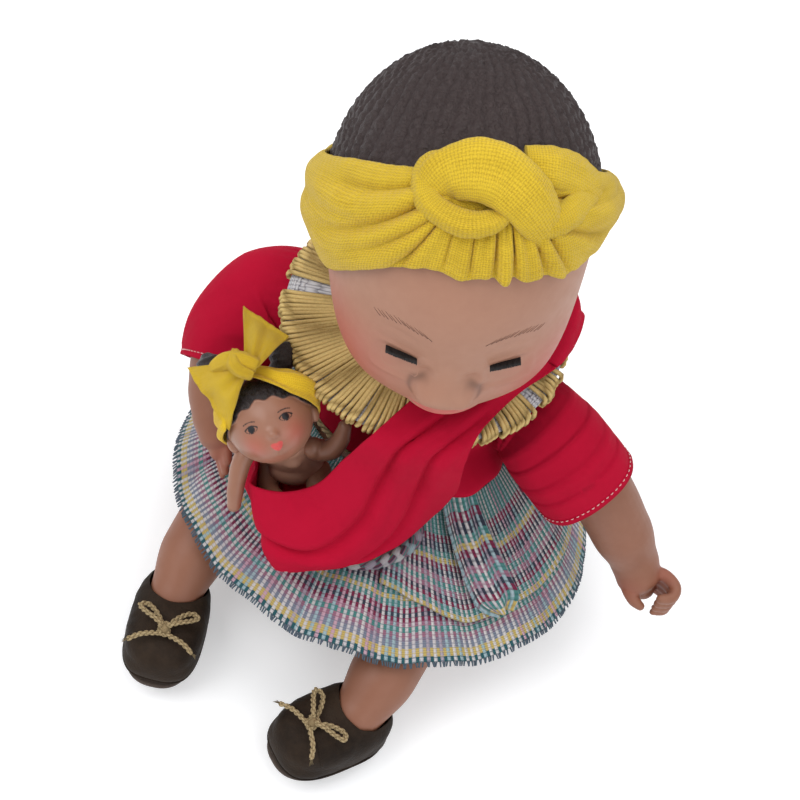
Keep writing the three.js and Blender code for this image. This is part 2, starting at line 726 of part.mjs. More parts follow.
// Places from the shoulder outwards, forwards and up as shares of the arm's reach, and radii as shares of
// its radius.
const leftArmShares = [
  [-0.064, 0, 0, 0.867], [0.099, 0, 0, 1.033], [0.355, 0.017, -0.058, 1.033], [0.634, 0.035, -0.314, 1],
  [0.855, 0.047, -0.593, 0.947], [0.988, 0.047, -0.779, 0.767], [1.064, 0.012, -0.872, 0.7],
    [1.11, 0, -0.93, 0.4],
];
const rightArmShares = [
  [-0.064, 0, 0, 0.867], [0.099, 0, 0, 1.033], [0.262, -0.023, -0.047, 1.033], [0.378, -0.151, -0.14, 1],
  [0.413, -0.349, -0.256, 0.933], [0.366, -0.5, -0.36, 0.833], [0.297, -0.605, -0.43, 0.733],
    [0.227, -0.686, -0.488, 0.6],
  [0.192, -0.733, -0.523, 0.333],
];

function armStations(side, shares, radius) {
  return shares.map(([x, y, z, size]) => ({
    at: V(side * (shoulderX + x * armReach), shoulderY + y * armReach, shoulderZ + z * armReach),
    wide: size * radius,
    high: size * radius,
  }));
}

function makeArm(side, line, digits) {
  const arm = limb(line, 12, 10);
  const name = side > 0 ? 'left' : 'right';
  const inside = box(V(Math.min(0, side * (shoulderX + gap)), -armReach, 0),
    V(Math.max(0, side * (shoulderX + gap)), armReach, neckTop));
  const shaped = cut(join(arm, ...digits), inside);
  const stem = stemOf(side, shoulderX + overrun, shoulderY, shoulderZ);
  const whole = join(shaped, ...stem);
  add(doll, `arm_${name}`, hollowed(whole, line.slice(0, -2), side, shoulderX, shoulderY, shoulderZ), 'skin');
}

// The curled fingers of the left hand share one outline, each at its own height.
const gripShares = [
  [1.087, 0.035, 0, 1], [1.18, 0.064, 0, 0.941], [1.262, 0.035, -0.006, 0.882],
  [1.273, -0.035, -0.006, 0.824], [1.221, -0.081, 0, 0.676],
];
const gripHeightShares = [-0.826, -0.877, -0.928, -0.977];
const thumbShares = [[1.017, -0.012, -0.86, 1.176], [1.041, -0.07, -0.884, 1.059],
  [1.093, -0.11, -0.907, 0.912], [1.145, -0.116, -0.93, 0.676]];
// The fingers of the right hand start at four places and bend alike.
const heldStartShares = [[0.262, -0.605, -0.442], [0.227, -0.663, -0.465], [0.215, -0.698, -0.512],
  [0.227, -0.698, -0.558]];
const heldBendShares = [[0, 0, 0, 1], [-0.058, -0.058, -0.012, 0.912], [-0.105, -0.116, -0.035, 0.676]];
const heldThumbShares = [[0.331, -0.558, -0.372, 1.118], [0.25, -0.558, -0.349, 0.941],
  [0.192, -0.581, -0.349, 0.647]];
const thinnerShare = 0.059;

function makeArms() {
  const grip = gripHeightShares.map((height, i) => armStations(1, gripShares.map(
    ([x, y, z, size]) => [x, y, z + height, size - i * thinnerShare]), fingerRadius));
  const thumb = armStations(1, thumbShares, fingerRadius);
  makeArm(1, armStations(1, leftArmShares, armRadius), [...grip, thumb].map((row) => limb(row, 5, 4)));
  const held = heldStartShares.map((start, i) => armStations(-1, heldBendShares.map(
    ([x, y, z, size]) => [start[0] + x, start[1] + y, start[2] + z, size - i * thinnerShare]), fingerRadius));
  const heldThumb = armStations(-1, heldThumbShares, fingerRadius);
  makeArm(-1, armStations(-1, rightArmShares, armRadius), [...held, heldThumb].map((row) => limb(row, 5, 3)));
}

// LEGS: vinyl, resting on a flat hip disc, with a foot inside each shoe.
const footY = (side) => ankleY - (side > 0 ? leftFootForward : 0);

function shoeSpace(side) {
  const group = new THREE.Group();
  group.position.set(side * ankleX, footY(side), shoeFloor);
  group.rotation.set(rad(-shoePitch), 0, rad(side > 0 ? -toeInLeft : toeInRight), 'ZYX');
  group.updateMatrix();
  return group.matrix.clone();
}

// The shoe's outside about the ankle: rounded like a loaf and flat underneath.
function shoeBody(inset, around, levels) {
  const power = 2.6;
  const middle = V(0, -shoeMiddle, shoeHeight * 0.42);
  const radii = V(shoeHalfWidth - inset, shoeLength / 2 - inset, shoeHeight * 0.58 - inset);
  const body = blob((d) => {
    const size = (Math.abs(d.x / radii.x) ** power + Math.abs(d.y / radii.y) ** power
      + Math.abs(d.z / radii.z) ** power) ** (-1 / power);
    const toe = smooth(-d.y, 0.2, 1);
    return V(middle.x + d.x * size, middle.y + d.y * size, middle.z + d.z * size * (1 - 0.1 * toe));
  }, around, levels);
  const under = box(V(-shoeLength, -shoeLength * 2, -shoeHeight), V(shoeLength, shoeLength, inset));
  return geometryOf(solid(body).subtract(solid(under)));
}

// The leg's middle line from behind the hip to the foot, made thicker by grow.
function legLine(side, grow) {
  const thigh = kneeY - hipY;
  const foot = footY(side);
  return [
    [kneeX * 0.99, hipY - thigh * 0.385, hipZ * 0.963, thighHalfWidth * 0.424, thighHalfHeight * 0.429],
    [kneeX * 0.99, hipY - thigh * 0.269, hipZ * 0.963, thighHalfWidth * 0.848, thighHalfHeight * 0.857],
    [kneeX * 0.99, hipY, hipZ * 0.981, thighHalfWidth, thighHalfHeight],
    [kneeX * 1.01, hipY + thigh * 0.5, kneeZ * 0.877, kneeRadius * 1.118, kneeRadius * 1.118],
    [kneeX, kneeY, kneeZ, kneeRadius, kneeRadius],
    [kneeX * 1.02, foot + shoeLength * 0.345, kneeZ * 0.863, kneeRadius * 0.912, kneeRadius * 0.912],
    [ankleX, foot, ankleZ, ankleRadius, ankleRadius],
    [ankleX * 0.949, foot - shoeLength * 0.207, ankleZ * 0.708, ankleRadius * 0.667, ankleRadius * 0.667],
  ].map(([x, y, z, wide, high]) => ({ at: V(side * x, y, z), wide: wide + grow, high: high + grow }));
}

function makeLegs() {
  for (const [name, side] of [['left', 1], ['right', -1]]) {
    const place = shoeSpace(side);
    const foot = shoeBody(leather + gap, 12, 6);
    foot.applyMatrix4(place);
    const leg = limb(legLine(side, 0), 12, 11);
    const hip = side * (hipX + gap);
    const inside = box(V(Math.min(0, hip), -shoeLength * 3, 0), V(Math.max(0, hip), shoeLength, torsoHeight));
    const below = box(V(-hemRadius * 2, -hemRadius * 2, -hemRadius), V(hemRadius * 2, hemRadius, 0));
    const shaped = cut(join(leg, foot), inside, below);
    const whole = join(shaped, ...stemOf(side, hipX + overrun, hipY, hipZ));
    const line = legLine(side, 0).slice(0, -1);
    add(doll, `leg_${name}`, hollowed(whole, line, side, hipX, hipY, hipZ), 'skin');

    const upper = shoeBody(0, 16, 8);
    const hollow = shoeBody(leather, 12, 6);
    upper.applyMatrix4(place);
    hollow.applyMatrix4(place);
    const opening = limb(legLine(side, looseGap * 2), 12, 11);
    const slit = new THREE.Shape();
    slit.moveTo(-slitHalfWidth, slitHalfWidth * 0.6);
    slit.lineTo(slitHalfWidth, slitHalfWidth * 0.6);
    slit.lineTo(slitHalfWidth * 0.4, -shoeHalfWidth);
    slit.lineTo(-slitHalfWidth * 0.4, -shoeHalfWidth);
    const tongue = new THREE.ExtrudeGeometry(slit, { depth: shoeHeight, bevelEnabled: false });
    tongue.translate(0, 0, shoeHeight * 0.5);
    tongue.applyMatrix4(place);
    add(doll, `shoe_${name}`, cut(upper, hollow, opening, tongue), 'leather');

    const soleShape = new THREE.Shape();
    const count = 22;
    for (let i = 0; i < count; i++) {
      const turn = (2 * Math.PI * i) / count;
      const c = Math.cos(turn);
      const s = Math.sin(turn);
      const x = Math.sign(c) * Math.abs(c) ** 0.8 * (shoeHalfWidth - leather);
      const y = Math.sign(s) * Math.abs(s) ** 0.8 * (shoeLength / 2 - leather) - shoeMiddle;
      if (i === 0) soleShape.moveTo(x, y);
      else soleShape.lineTo(x, y);
    }
    const sole = new THREE.ExtrudeGeometry(soleShape, { depth: soleThick, bevelEnabled: false });
    sole.translate(0, 0, -soleThick - gap);
    sole.applyMatrix4(place);
    add(doll, `sole_${name}`, sole, 'sole');
    makeBow(name, side, place);
  }
}

// The height of the shoe's top along its middle line.
function shoeTopAt(y) {
  const away = Math.abs(y + shoeMiddle) / (shoeLength / 2);
  return shoeHeight * (0.42 + 0.58 * (1 - away ** 2.6) ** (1 / 2.6));
}

// A lace bow: two loops towards the ankle, two tails towards the toe, and a knot.
const loopShares = [
  [0, 0, 0], [0.345, 0.103, 0.138], [0.759, 0.345, 0.179], [0.862, 0.621, 0.166],
  [0.552, 0.655, 0.221], [0.207, 0.345, 0.207], [0, 0, 0.103],
];
const tailShares = [[0, 0, 0], [0.345, -0.138, 0.11], [0.69, -0.276, 0.041], [1, -0.517, -0.028]];
const bowKnotShares = [0.193, 0.166, 0.152];

function makeBow(name, side, place) {
  const knotY = -shoeMiddle - bowBack;
  const knotAt = V(0, knotY, shoeTopAt(knotY) + looseGap);
  const strands = [[loopShares, 8], [tailShares, 4]].flatMap(([shares, steps]) => [-1, 1].map((way) => limb(
    stationsFrom(shares.map(([x, y, z]) => [way * x, y, z].map((v) => v * bowHalfWidth).concat(laceRadius))),
      4, steps)));
  const knot = ellipsoid(V(0, 0, looseGap), V(...bowKnotShares.map((v) => v * bowHalfWidth)), 6, 4);
  const bow = join(knot, ...strands);
  bow.translate(...knotAt.toArray());
  bow.applyMatrix4(place);
  add(doll, `bow_${name}`, bow, 'twine');
}

// CLOTHES: each a thin closed solid round the doll.
function tubeCloth(stations, around, rows, ripple, folds) {
  const path = new THREE.CatmullRomCurve3(stations.map((s) => s.at), false, 'centripetal');
  const grid = [];
  for (let i = 0; i < around; i++) {
    const turn = (2 * Math.PI * i) / around;
    const row = [];
    for (let j = 0; j < rows; j++) {
      const t = j / (rows - 1);
      const forward = path.getTangent(t);
      const side = V(0, 1, 0);
      side.addScaledVector(forward, -side.dot(forward)).normalize();
      const up = side.clone().cross(forward).normalize();
      const place = Math.min(t * (stations.length - 1), stations.length - 1.001);
      const k = Math.floor(place);
      const r = blend(stations[k].wide, stations[k + 1].wide, place - k) + ripple * t
        * Math.cos(folds * turn);
      row.push(path.getPoint(t).addScaledVector(side, Math.cos(turn) * r)
        .addScaledVector(up, Math.sin(turn) * r));
    }
    grid.push(row);
  }
  return clothSolid(grid, clothThick, true);
}

// Heights as shares of the torso's, and how far the cloth stands off as shares of its ease.
const blouseShares = [
  [0.627, 1], [0.704, 0.76], [0.789, 0.64], [0.873, 0.64],
  [0.937, 0.64], [0.986, 0.68], [1.021, 0.96], [1.07, 1.64],
];
const sleeveLeftShares = [[0.078, 0, 0, 1.24], [0.18, 0, -0.005, 1.367], [0.366, -0.012, -0.11, 1.567],
  [0.576, 0, -0.291, 1.6]];
const sleeveRightShares = [
  [0.078, 0, 0, 1.24], [0.18, 0, 0, 1.4], [0.331, -0.058, -0.07, 1.533],
  [0.413, -0.256, -0.198, 1.4], [0.39, -0.419, -0.302, 1.233],
];

function makeBlouse() {
  const grid = [];
  const around = 22;
  const fullness = rad(32);
  const fullAt = rad(325);
  for (let i = 0; i < around; i++) {
    const turn = (2 * Math.PI * i) / around;
    grid.push(blouseShares.map(([height, easeShare], j) => {
      const z = height * torsoHeight;
      const ripple = blouseRipple * (1 - j / (blouseShares.length - 1)) * Math.cos(7 * turn);
      const flare = j === 0 ? blouseFlare * Math.exp(-(((turn - fullAt) / fullness) ** 2)) : 0;
      const out = easeShare * blouseEase + ripple + flare;
      const back = j > 4 ? Math.min((j - 4) * 0.33, 1) * neckY : 0;
      return V((torsoHalfWidthAt(z) + out) * Math.cos(turn),
        (torsoHalfWidthAt(z) * torsoDepthShare + out) * Math.sin(turn) + back, z);
    }));
  }
  const shell = clothSolid(grid, clothThick, true);
  const holes = [-1, 1].map((side) => rod(
    V(side * (shoulderX - vinylWall * 3), shoulderY, shoulderZ),
    V(side * (shoulderX + armReach), shoulderY, shoulderZ),
    armRadius + clothThick + gap, 18));
  add(doll, 'blouse', cut(shell, ...holes), 'red');
  const ripple = blouseRipple * 0.9;
  add(doll, 'sleeve_left', tubeCloth(armStations(1, sleeveLeftShares, armRadius), 16, 5, ripple, 4), 'red');
  add(doll, 'sleeve_right', tubeCloth(armStations(-1, sleeveRightShares, armRadius), 16, 6, ripple, 4),
    'red');
}

// The skirt's surface: turn round the body, share from waist to hem, and rise above the cloth below.
function skirtPlace(turn, share, rise) {
  const c = Math.cos(turn);
  const s = Math.sin(turn);
  const drawn = waistRadius - skirtFold / 2;
  const waist = V(drawn * c, drawn * (torsoDepthShare + 0.04) * s, waistZ);
  const fold = Math.cos(skirtFolds * turn) * skirtFold * Math.min(share * 1.4, 1);
  const y = hemCentreY + hemRadius * s;
  const hem = V(hemCentreX + hemRadius * c, y,
    Math.max(hemZ - hemTilt * (y - hemCentreY), hemLowest + skirtFold));
  const flat = waist.clone().lerp(hem, share);
  // the lap lies nearly flat, while the back slopes straight down
  const power = blend(0.55, 1.2, smooth(s, -0.75, 0.2));
  flat.z = blend(waist.z, hem.z, share ** power) + fold;
  flat.z = Math.max(flat.z, legTop(flat.x, flat.y) + clothThick * 2) + rise;
  flat.x += c * rise * 1.3;
  flat.y += s * rise * 1.3;
  return flat;
}

// How high the legs reach above the floor at a place, and 0 where there is no leg.
function legTop(x, y) {
  let highest = 0;
  for (const side of [-1, 1]) {
    const line = legLine(side, clothThick);
    for (let i = 1; i < line.length; i++) {
      const f = (y - line[i - 1].at.y) / (line[i].at.y - line[i - 1].at.y);
      if (f < 0 || f > 1) continue;
      const across = Math.abs(x - blend(line[i - 1].at.x, line[i].at.x, f))
        / blend(line[i - 1].wide, line[i].wide, f);
      if (across >= 1) continue;
      const top = blend(line[i - 1].at.z, line[i].at.z, f)
        + Math.sqrt(1 - across ** 2) * blend(line[i - 1].high, line[i].high, f);
      highest = Math.max(highest, top);
    }
  }
  return highest;
}

// Two ends of the knotted cloth: places on the skirt as shares of a turn and of its drop, and half sizes as
// shares of the knot.
const overEndShares = [
  [[-0.178, 0.370, 0.667, 0.333], [-0.205, 0.455, 1, 0.233], [-0.229, 0.520, 1.167, 0.183]],
  [[-0.178, 0.370, 0.667, 0.333], [-0.167, 0.495, 0.833, 0.233], [-0.155, 0.575, 0.833, 0.183]],
];
// The waist tie's cross section, out and up, as shares of its radius.
const tieShares = [[0, 0.667], [1, 0.667], [1.167, 1.667], [1, 2.667], [0, 2.667]];

function makeSkirt() {
  const around = skirtFolds * 4;
  const grid = [];
  for (let i = 0; i < around; i++) {
    const turn = (2 * Math.PI * i) / around;
    grid.push([0, 0.25, 0.6, 1].map((share) => skirtPlace(turn, share, 0)));
  }
  add(doll, 'skirt', clothSolid(grid, clothThick, true), 'weave');
  const strip = [];
  const overRise = clothThick + looseGap * 3;
  const from = rad(-70);
  const to = rad(165);
  const steps = 28;
  for (let i = 0; i <= steps; i++) {
    const turn = blend(from, to, i / steps);
    const reach = overskirtShare * blend(0.72, 1, smooth(i / steps, 0, 0.12));
    strip.push([0.08, 0.36, 0.68, 1].map((share) => skirtPlace(turn, share * reach, overRise)));
  }
  add(doll, 'overskirt', clothSolid(strip, clothThick, false), 'weave');
  const onLap = ([turn, share], lift) => skirtPlace(turn * 2 * Math.PI, share, overRise)
    .add(V(0, 0, clothThick / 2 + looseGap * 2 + lift));
  const flat = overKnotRadius * 0.567;
  const ends = overEndShares.map((shares) => limb(shares.map(([turn, share, wide, high]) => ({
    at: onLap([turn, share], flat * blend(0.5, 1, smooth(high, 0.2, 0.333))),
    wide: wide * overKnotRadius,
    high: high * overKnotRadius,
  })), 8, 4));
  const middle = onLap(overEndShares[0][0], flat);
  const knot = ellipsoid(middle, V(overKnotRadius, overKnotRadius * 0.833, flat), 10, 6);
  add(doll, 'overskirt_knot', join(knot, ...ends), 'weave');
  const tie = [];
  const turns = 24;
  for (let i = 0; i < turns; i++) {
    const turn = (2 * Math.PI * i) / turns;
    tie.push(tieShares.map(([outShare, liftShare]) => {
      const out = gap * 2 + outShare * tieRadius;
      const z = waistZ + liftShare * tieRadius;
      return V((torsoHalfWidthAt(z) + out) * Math.cos(turn),
        (torsoHalfWidthAt(z) * torsoDepthShare + out) * Math.sin(turn), z);
    }));
  }
  add(doll, 'waist_tie', loft(tie, true), 'twine');
}

// SLING: one long cloth looped over the left shoulder and under the right arm, with a pouch in front.
// Each row is a cross section from its upper edge to its lower edge, with its places across, forwards and
// up from
// the torso's top as shares of the hip's half width.
const slingShares = [
  [[0.638, 0, 0.435], [0.766, 0, 0.456], [0.894, 0, 0.468], [1.021, 0, 0.468],
    [1.149, 0, 0.447], [1.277, 0, 0.393], [1.372, 0, 0.278]],
  [[0.468, -0.511, 0.435], [0.617, -0.511, 0.447], [0.766, -0.489, 0.456], [0.894, -0.468, 0.456],
    [1.043, -0.447, 0.435], [1.223, -0.436, 0.393], [1.372, -0.404, 0.308]],
  [[0.298, -1, 0.384], [0.447, -1.043, 0.405], [0.596, -1.064, 0.414], [0.723, -1.043, 0.414],
    [0.872, -1, 0.405], [1, -0.936, 0.372], [1.128, -0.872, 0.278]],
  [[0.149, -1.468, 0.305], [0.277, -1.468, 0.278], [0.426, -1.447, 0.245], [0.574, -1.404, 0.202],
    [0.723, -1.34, 0.157], [0.894, -1.238, 0.094], [1.043, -1.096, 0.006]],
  [[0, -1.553, -0.106], [0.17, -1.532, -0.19], [0.34, -1.489, -0.299], [0.511, -1.404, -0.405],
    [0.681, -1.298, -0.489], [0.83, -1.17, -0.574], [0.957, -1, -0.659]],
  [[-0.149, -1.681, -0.511], [0.064, -1.723, -0.68], [0.277, -1.702, -0.852], [0.468, -1.596, -1],
    [0.638, -1.447, -1.106], [0.766, -1.234, -1.19], [0.809, -1.021, -1.19]],
  [[-0.404, -1.83, -0.68], [-0.191, -1.957, -0.873], [0.021, -2.021, -1.063], [0.213, -1.979, -1.212],
    [0.383, -1.83, -1.32], [0.489, -1.596, -1.363], [0.532, -1.34, -1.341]],
  [[-0.702, -1.851, -0.789], [-0.574, -1.979, -0.937], [-0.404, -2.085, -1.085], [-0.234, -2.128, -1.224],
    [-0.085, -2.106, -1.351], [0, -1.936, -1.414], [0.085, -1.702, -1.426]],
  [[-0.766, -1.596, -0.894], [-0.723, -1.702, -1.054], [-0.649, -1.809, -1.212], [-0.511, -1.83, -1.351],
    [-0.34, -1.745, -1.435], [-0.17, -1.596, -1.468], [0, -1.426, -1.447]],
  [[-0.979, -1.277, -0.915], [-1.021, -1.362, -1.054], [-1, -1.426, -1.224], [-0.851, -1.426, -1.384],
    [-0.66, -1.319, -1.447], [-0.447, -1.17, -1.447], [-0.234, -1.021, -1.372]],
  [[-1.064, -0.809, -0.915], [-1.085, -0.83, -0.979], [-1.085, -0.851, -1.054], [-1.064, -0.872, -1.127],
    [-1, -0.894, -1.202], [-0.894, -0.904, -1.254], [-0.766, -0.894, -1.254]],
  [[-1.106, -0.17, -0.903], [-1.121, -0.17, -0.958], [-1.128, -0.17, -1.012], [-1.128, -0.17, -1.063],
    [-1.128, -0.17, -1.118], [-1.128, -0.17, -1.169], [-1.128, -0.17, -1.224]],
  [[-0.915, 0.553, -0.595], [-0.93, 0.553, -0.671], [-0.936, 0.553, -0.743], [-0.936, 0.553, -0.819],
    [-0.936, 0.553, -0.894], [-0.936, 0.553, -0.967], [-0.936, 0.553, -1.042]],
  [[-0.404, 0.915, -0.299], [-0.383, 0.926, -0.384], [-0.362, 0.936, -0.468], [-0.34, 0.936, -0.553],
    [-0.319, 0.936, -0.637], [-0.298, 0.936, -0.722], [-0.277, 0.936, -0.81]],
  [[0.17, 1.128, 0], [0.213, 1.106, -0.097], [0.255, 1.085, -0.19], [0.298, 1.064, -0.278],
    [0.34, 1.043, -0.363], [0.383, 1.021, -0.447], [0.426, 1, -0.532]],
  [[0.426, 1.277, 0.299], [0.532, 1.277, 0.233], [0.638, 1.255, 0.169], [0.745, 1.213, 0.106],
    [0.83, 1.17, 0.042], [0.915, 1.128, -0.042], [1, 1.064, -0.127]],
  [[0.468, 0.851, 0.414], [0.617, 0.872, 0.426], [0.766, 0.894, 0.414], [0.894, 0.894, 0.393],
    [1.021, 0.894, 0.35], [1.128, 0.872, 0.287], [1.213, 0.851, 0.19]],
  [[0.553, 0.426, 0.435], [0.702, 0.426, 0.456], [0.851, 0.426, 0.456], [0.979, 0.426, 0.447],
    [1.106, 0.426, 0.414], [1.234, 0.426, 0.363], [1.34, 0.426, 0.257]],
];

const onBody = (shares) => V(...shares).multiplyScalar(hipHalfWidth).add(V(0, 0, torsoHeight));

function makeSling() {
  const steps = 36;
  const across = slingShares[0].length;
  const grid = [];
  for (let i = 0; i < steps; i++) {
    const place = (i / steps) * slingShares.length;
    const k = Math.floor(place);
    const f = place - k;
    const row = [];
    for (let j = 0; j < across; j++) {
      const get = (n) => onBody(slingShares[(n + slingShares.length) % slingShares.length][j]);
      const a = get(k - 1);
      const b = get(k);
      const c = get(k + 1);
      const d = get(k + 2);
      const p = b.clone().multiplyScalar(2)
        .addScaledVector(c.clone().sub(a), f)
        .addScaledVector(a.clone().multiplyScalar(2).addScaledVector(b, -5).addScaledVector(c, 4).sub(d),
          f * f)
        .addScaledVector(b.clone().multiplyScalar(3).sub(a).addScaledVector(c, -3).add(d), f * f * f)
        .multiplyScalar(0.5);
      row.push(p);
    }
    grid.push(row);
  }
  add(doll, 'sling', clothSolid(grid, slingThick, true), 'red');
}

// BABY DOLL: small, vinyl, sitting in the pouch. Its frame has +Z up its back and -Y the way its chest
// faces.
const baby = new THREE.Group();
doll.add(baby);

const babyUp = V(-0.2, -0.335, 0.92).normalize();
const babyFace = V(0.15, -1, 0);

function frameFrom(place, up, face) {
  const back = face.clone().addScaledVector(up, -face.dot(up)).normalize().negate();
  const side = back.clone().cross(up).normalize();
  return new THREE.Matrix4().makeBasis(side, back, up).setPosition(place);
}

const babyHeadAt = V(babyX, babyY, babyZ);
const babyNeckAt = babyHeadAt.clone().addScaledVector(babyUp, -babyHeadRadius * 1.02);
const babyMiddle = babyNeckAt.clone().addScaledVector(babyUp, -babyTorsoLength / 2);
const babyPlace = frameFrom(babyMiddle, babyUp, babyFace);
const babyHeadPlace = frameFrom(babyHeadAt, V(-0.596, 0.149, 0.789).normalize(), V(0.478, -0.724, 0.497));
const babyShoulder = { x: babyTorsoRadius * 0.779, y: 0, z: babyTorsoLength * 0.286 };
const babyHip = { x: babyTorsoRadius * 0.593, y: -babyTorsoRadius * 0.143, z: -babyTorsoLength / 3 };

// The three ends of the wrap's knot: places and half sizes as shares of the head's radius.
const wrapTailShares = [
  [[0, 0, 0, 0.162, 0.081], [-0.108, 0.054, 0.757, 0.432, 0.065], [-0.162, 0.378, 1.73, 0.324, 0.054]],
  [[0, 0, 0, 0.162, 0.081], [0.541, 0.216, 0.432, 0.378, 0.065], [1.027, 0.595, 0.811, 0.324, 0.054]],
  [[0, 0, 0, 0.162, 0.081], [-0.703, 0, 0.216, 0.405, 0.065], [-1.351, 0.054, 0.216, 0.432, 0.054]],
];
// Limbs from the shoulder or hip outwards: places from the body's middle as shares of its length, and radii
// as shares of the limb's.
const babyLimbShares = {
  arm_left: [[0.296, -0.021, 0.314, 1], [0.415, 0.003, 0.398, 0.958], [0.462, 0.075, 0.541, 0.833],
    [0.45, 0.146, 0.66, 0.625]],
  arm_right: [[-0.347, -0.306, 0.172, 0.958], [-0.335, -0.473, 0.064, 0.875], [-0.276, -0.64, -0.126, 0.771],
    [-0.228, -0.723, -0.269, 0.625]],
  leg_left: [[0.367, -0.021, -0.245, 1.038], [0.51, -0.14, -0.233, 1], [0.677, -0.283, -0.197, 0.885],
    [0.772, -0.402, -0.102, 0.654]],
  leg_right: [[-0.109, -0.168, -0.388, 0.962], [-0.038, -0.318, -0.364, 0.885],
    [0.093, -0.413, -0.281, 0.788], [0.212, -0.473, -0.186, 0.596]],
};

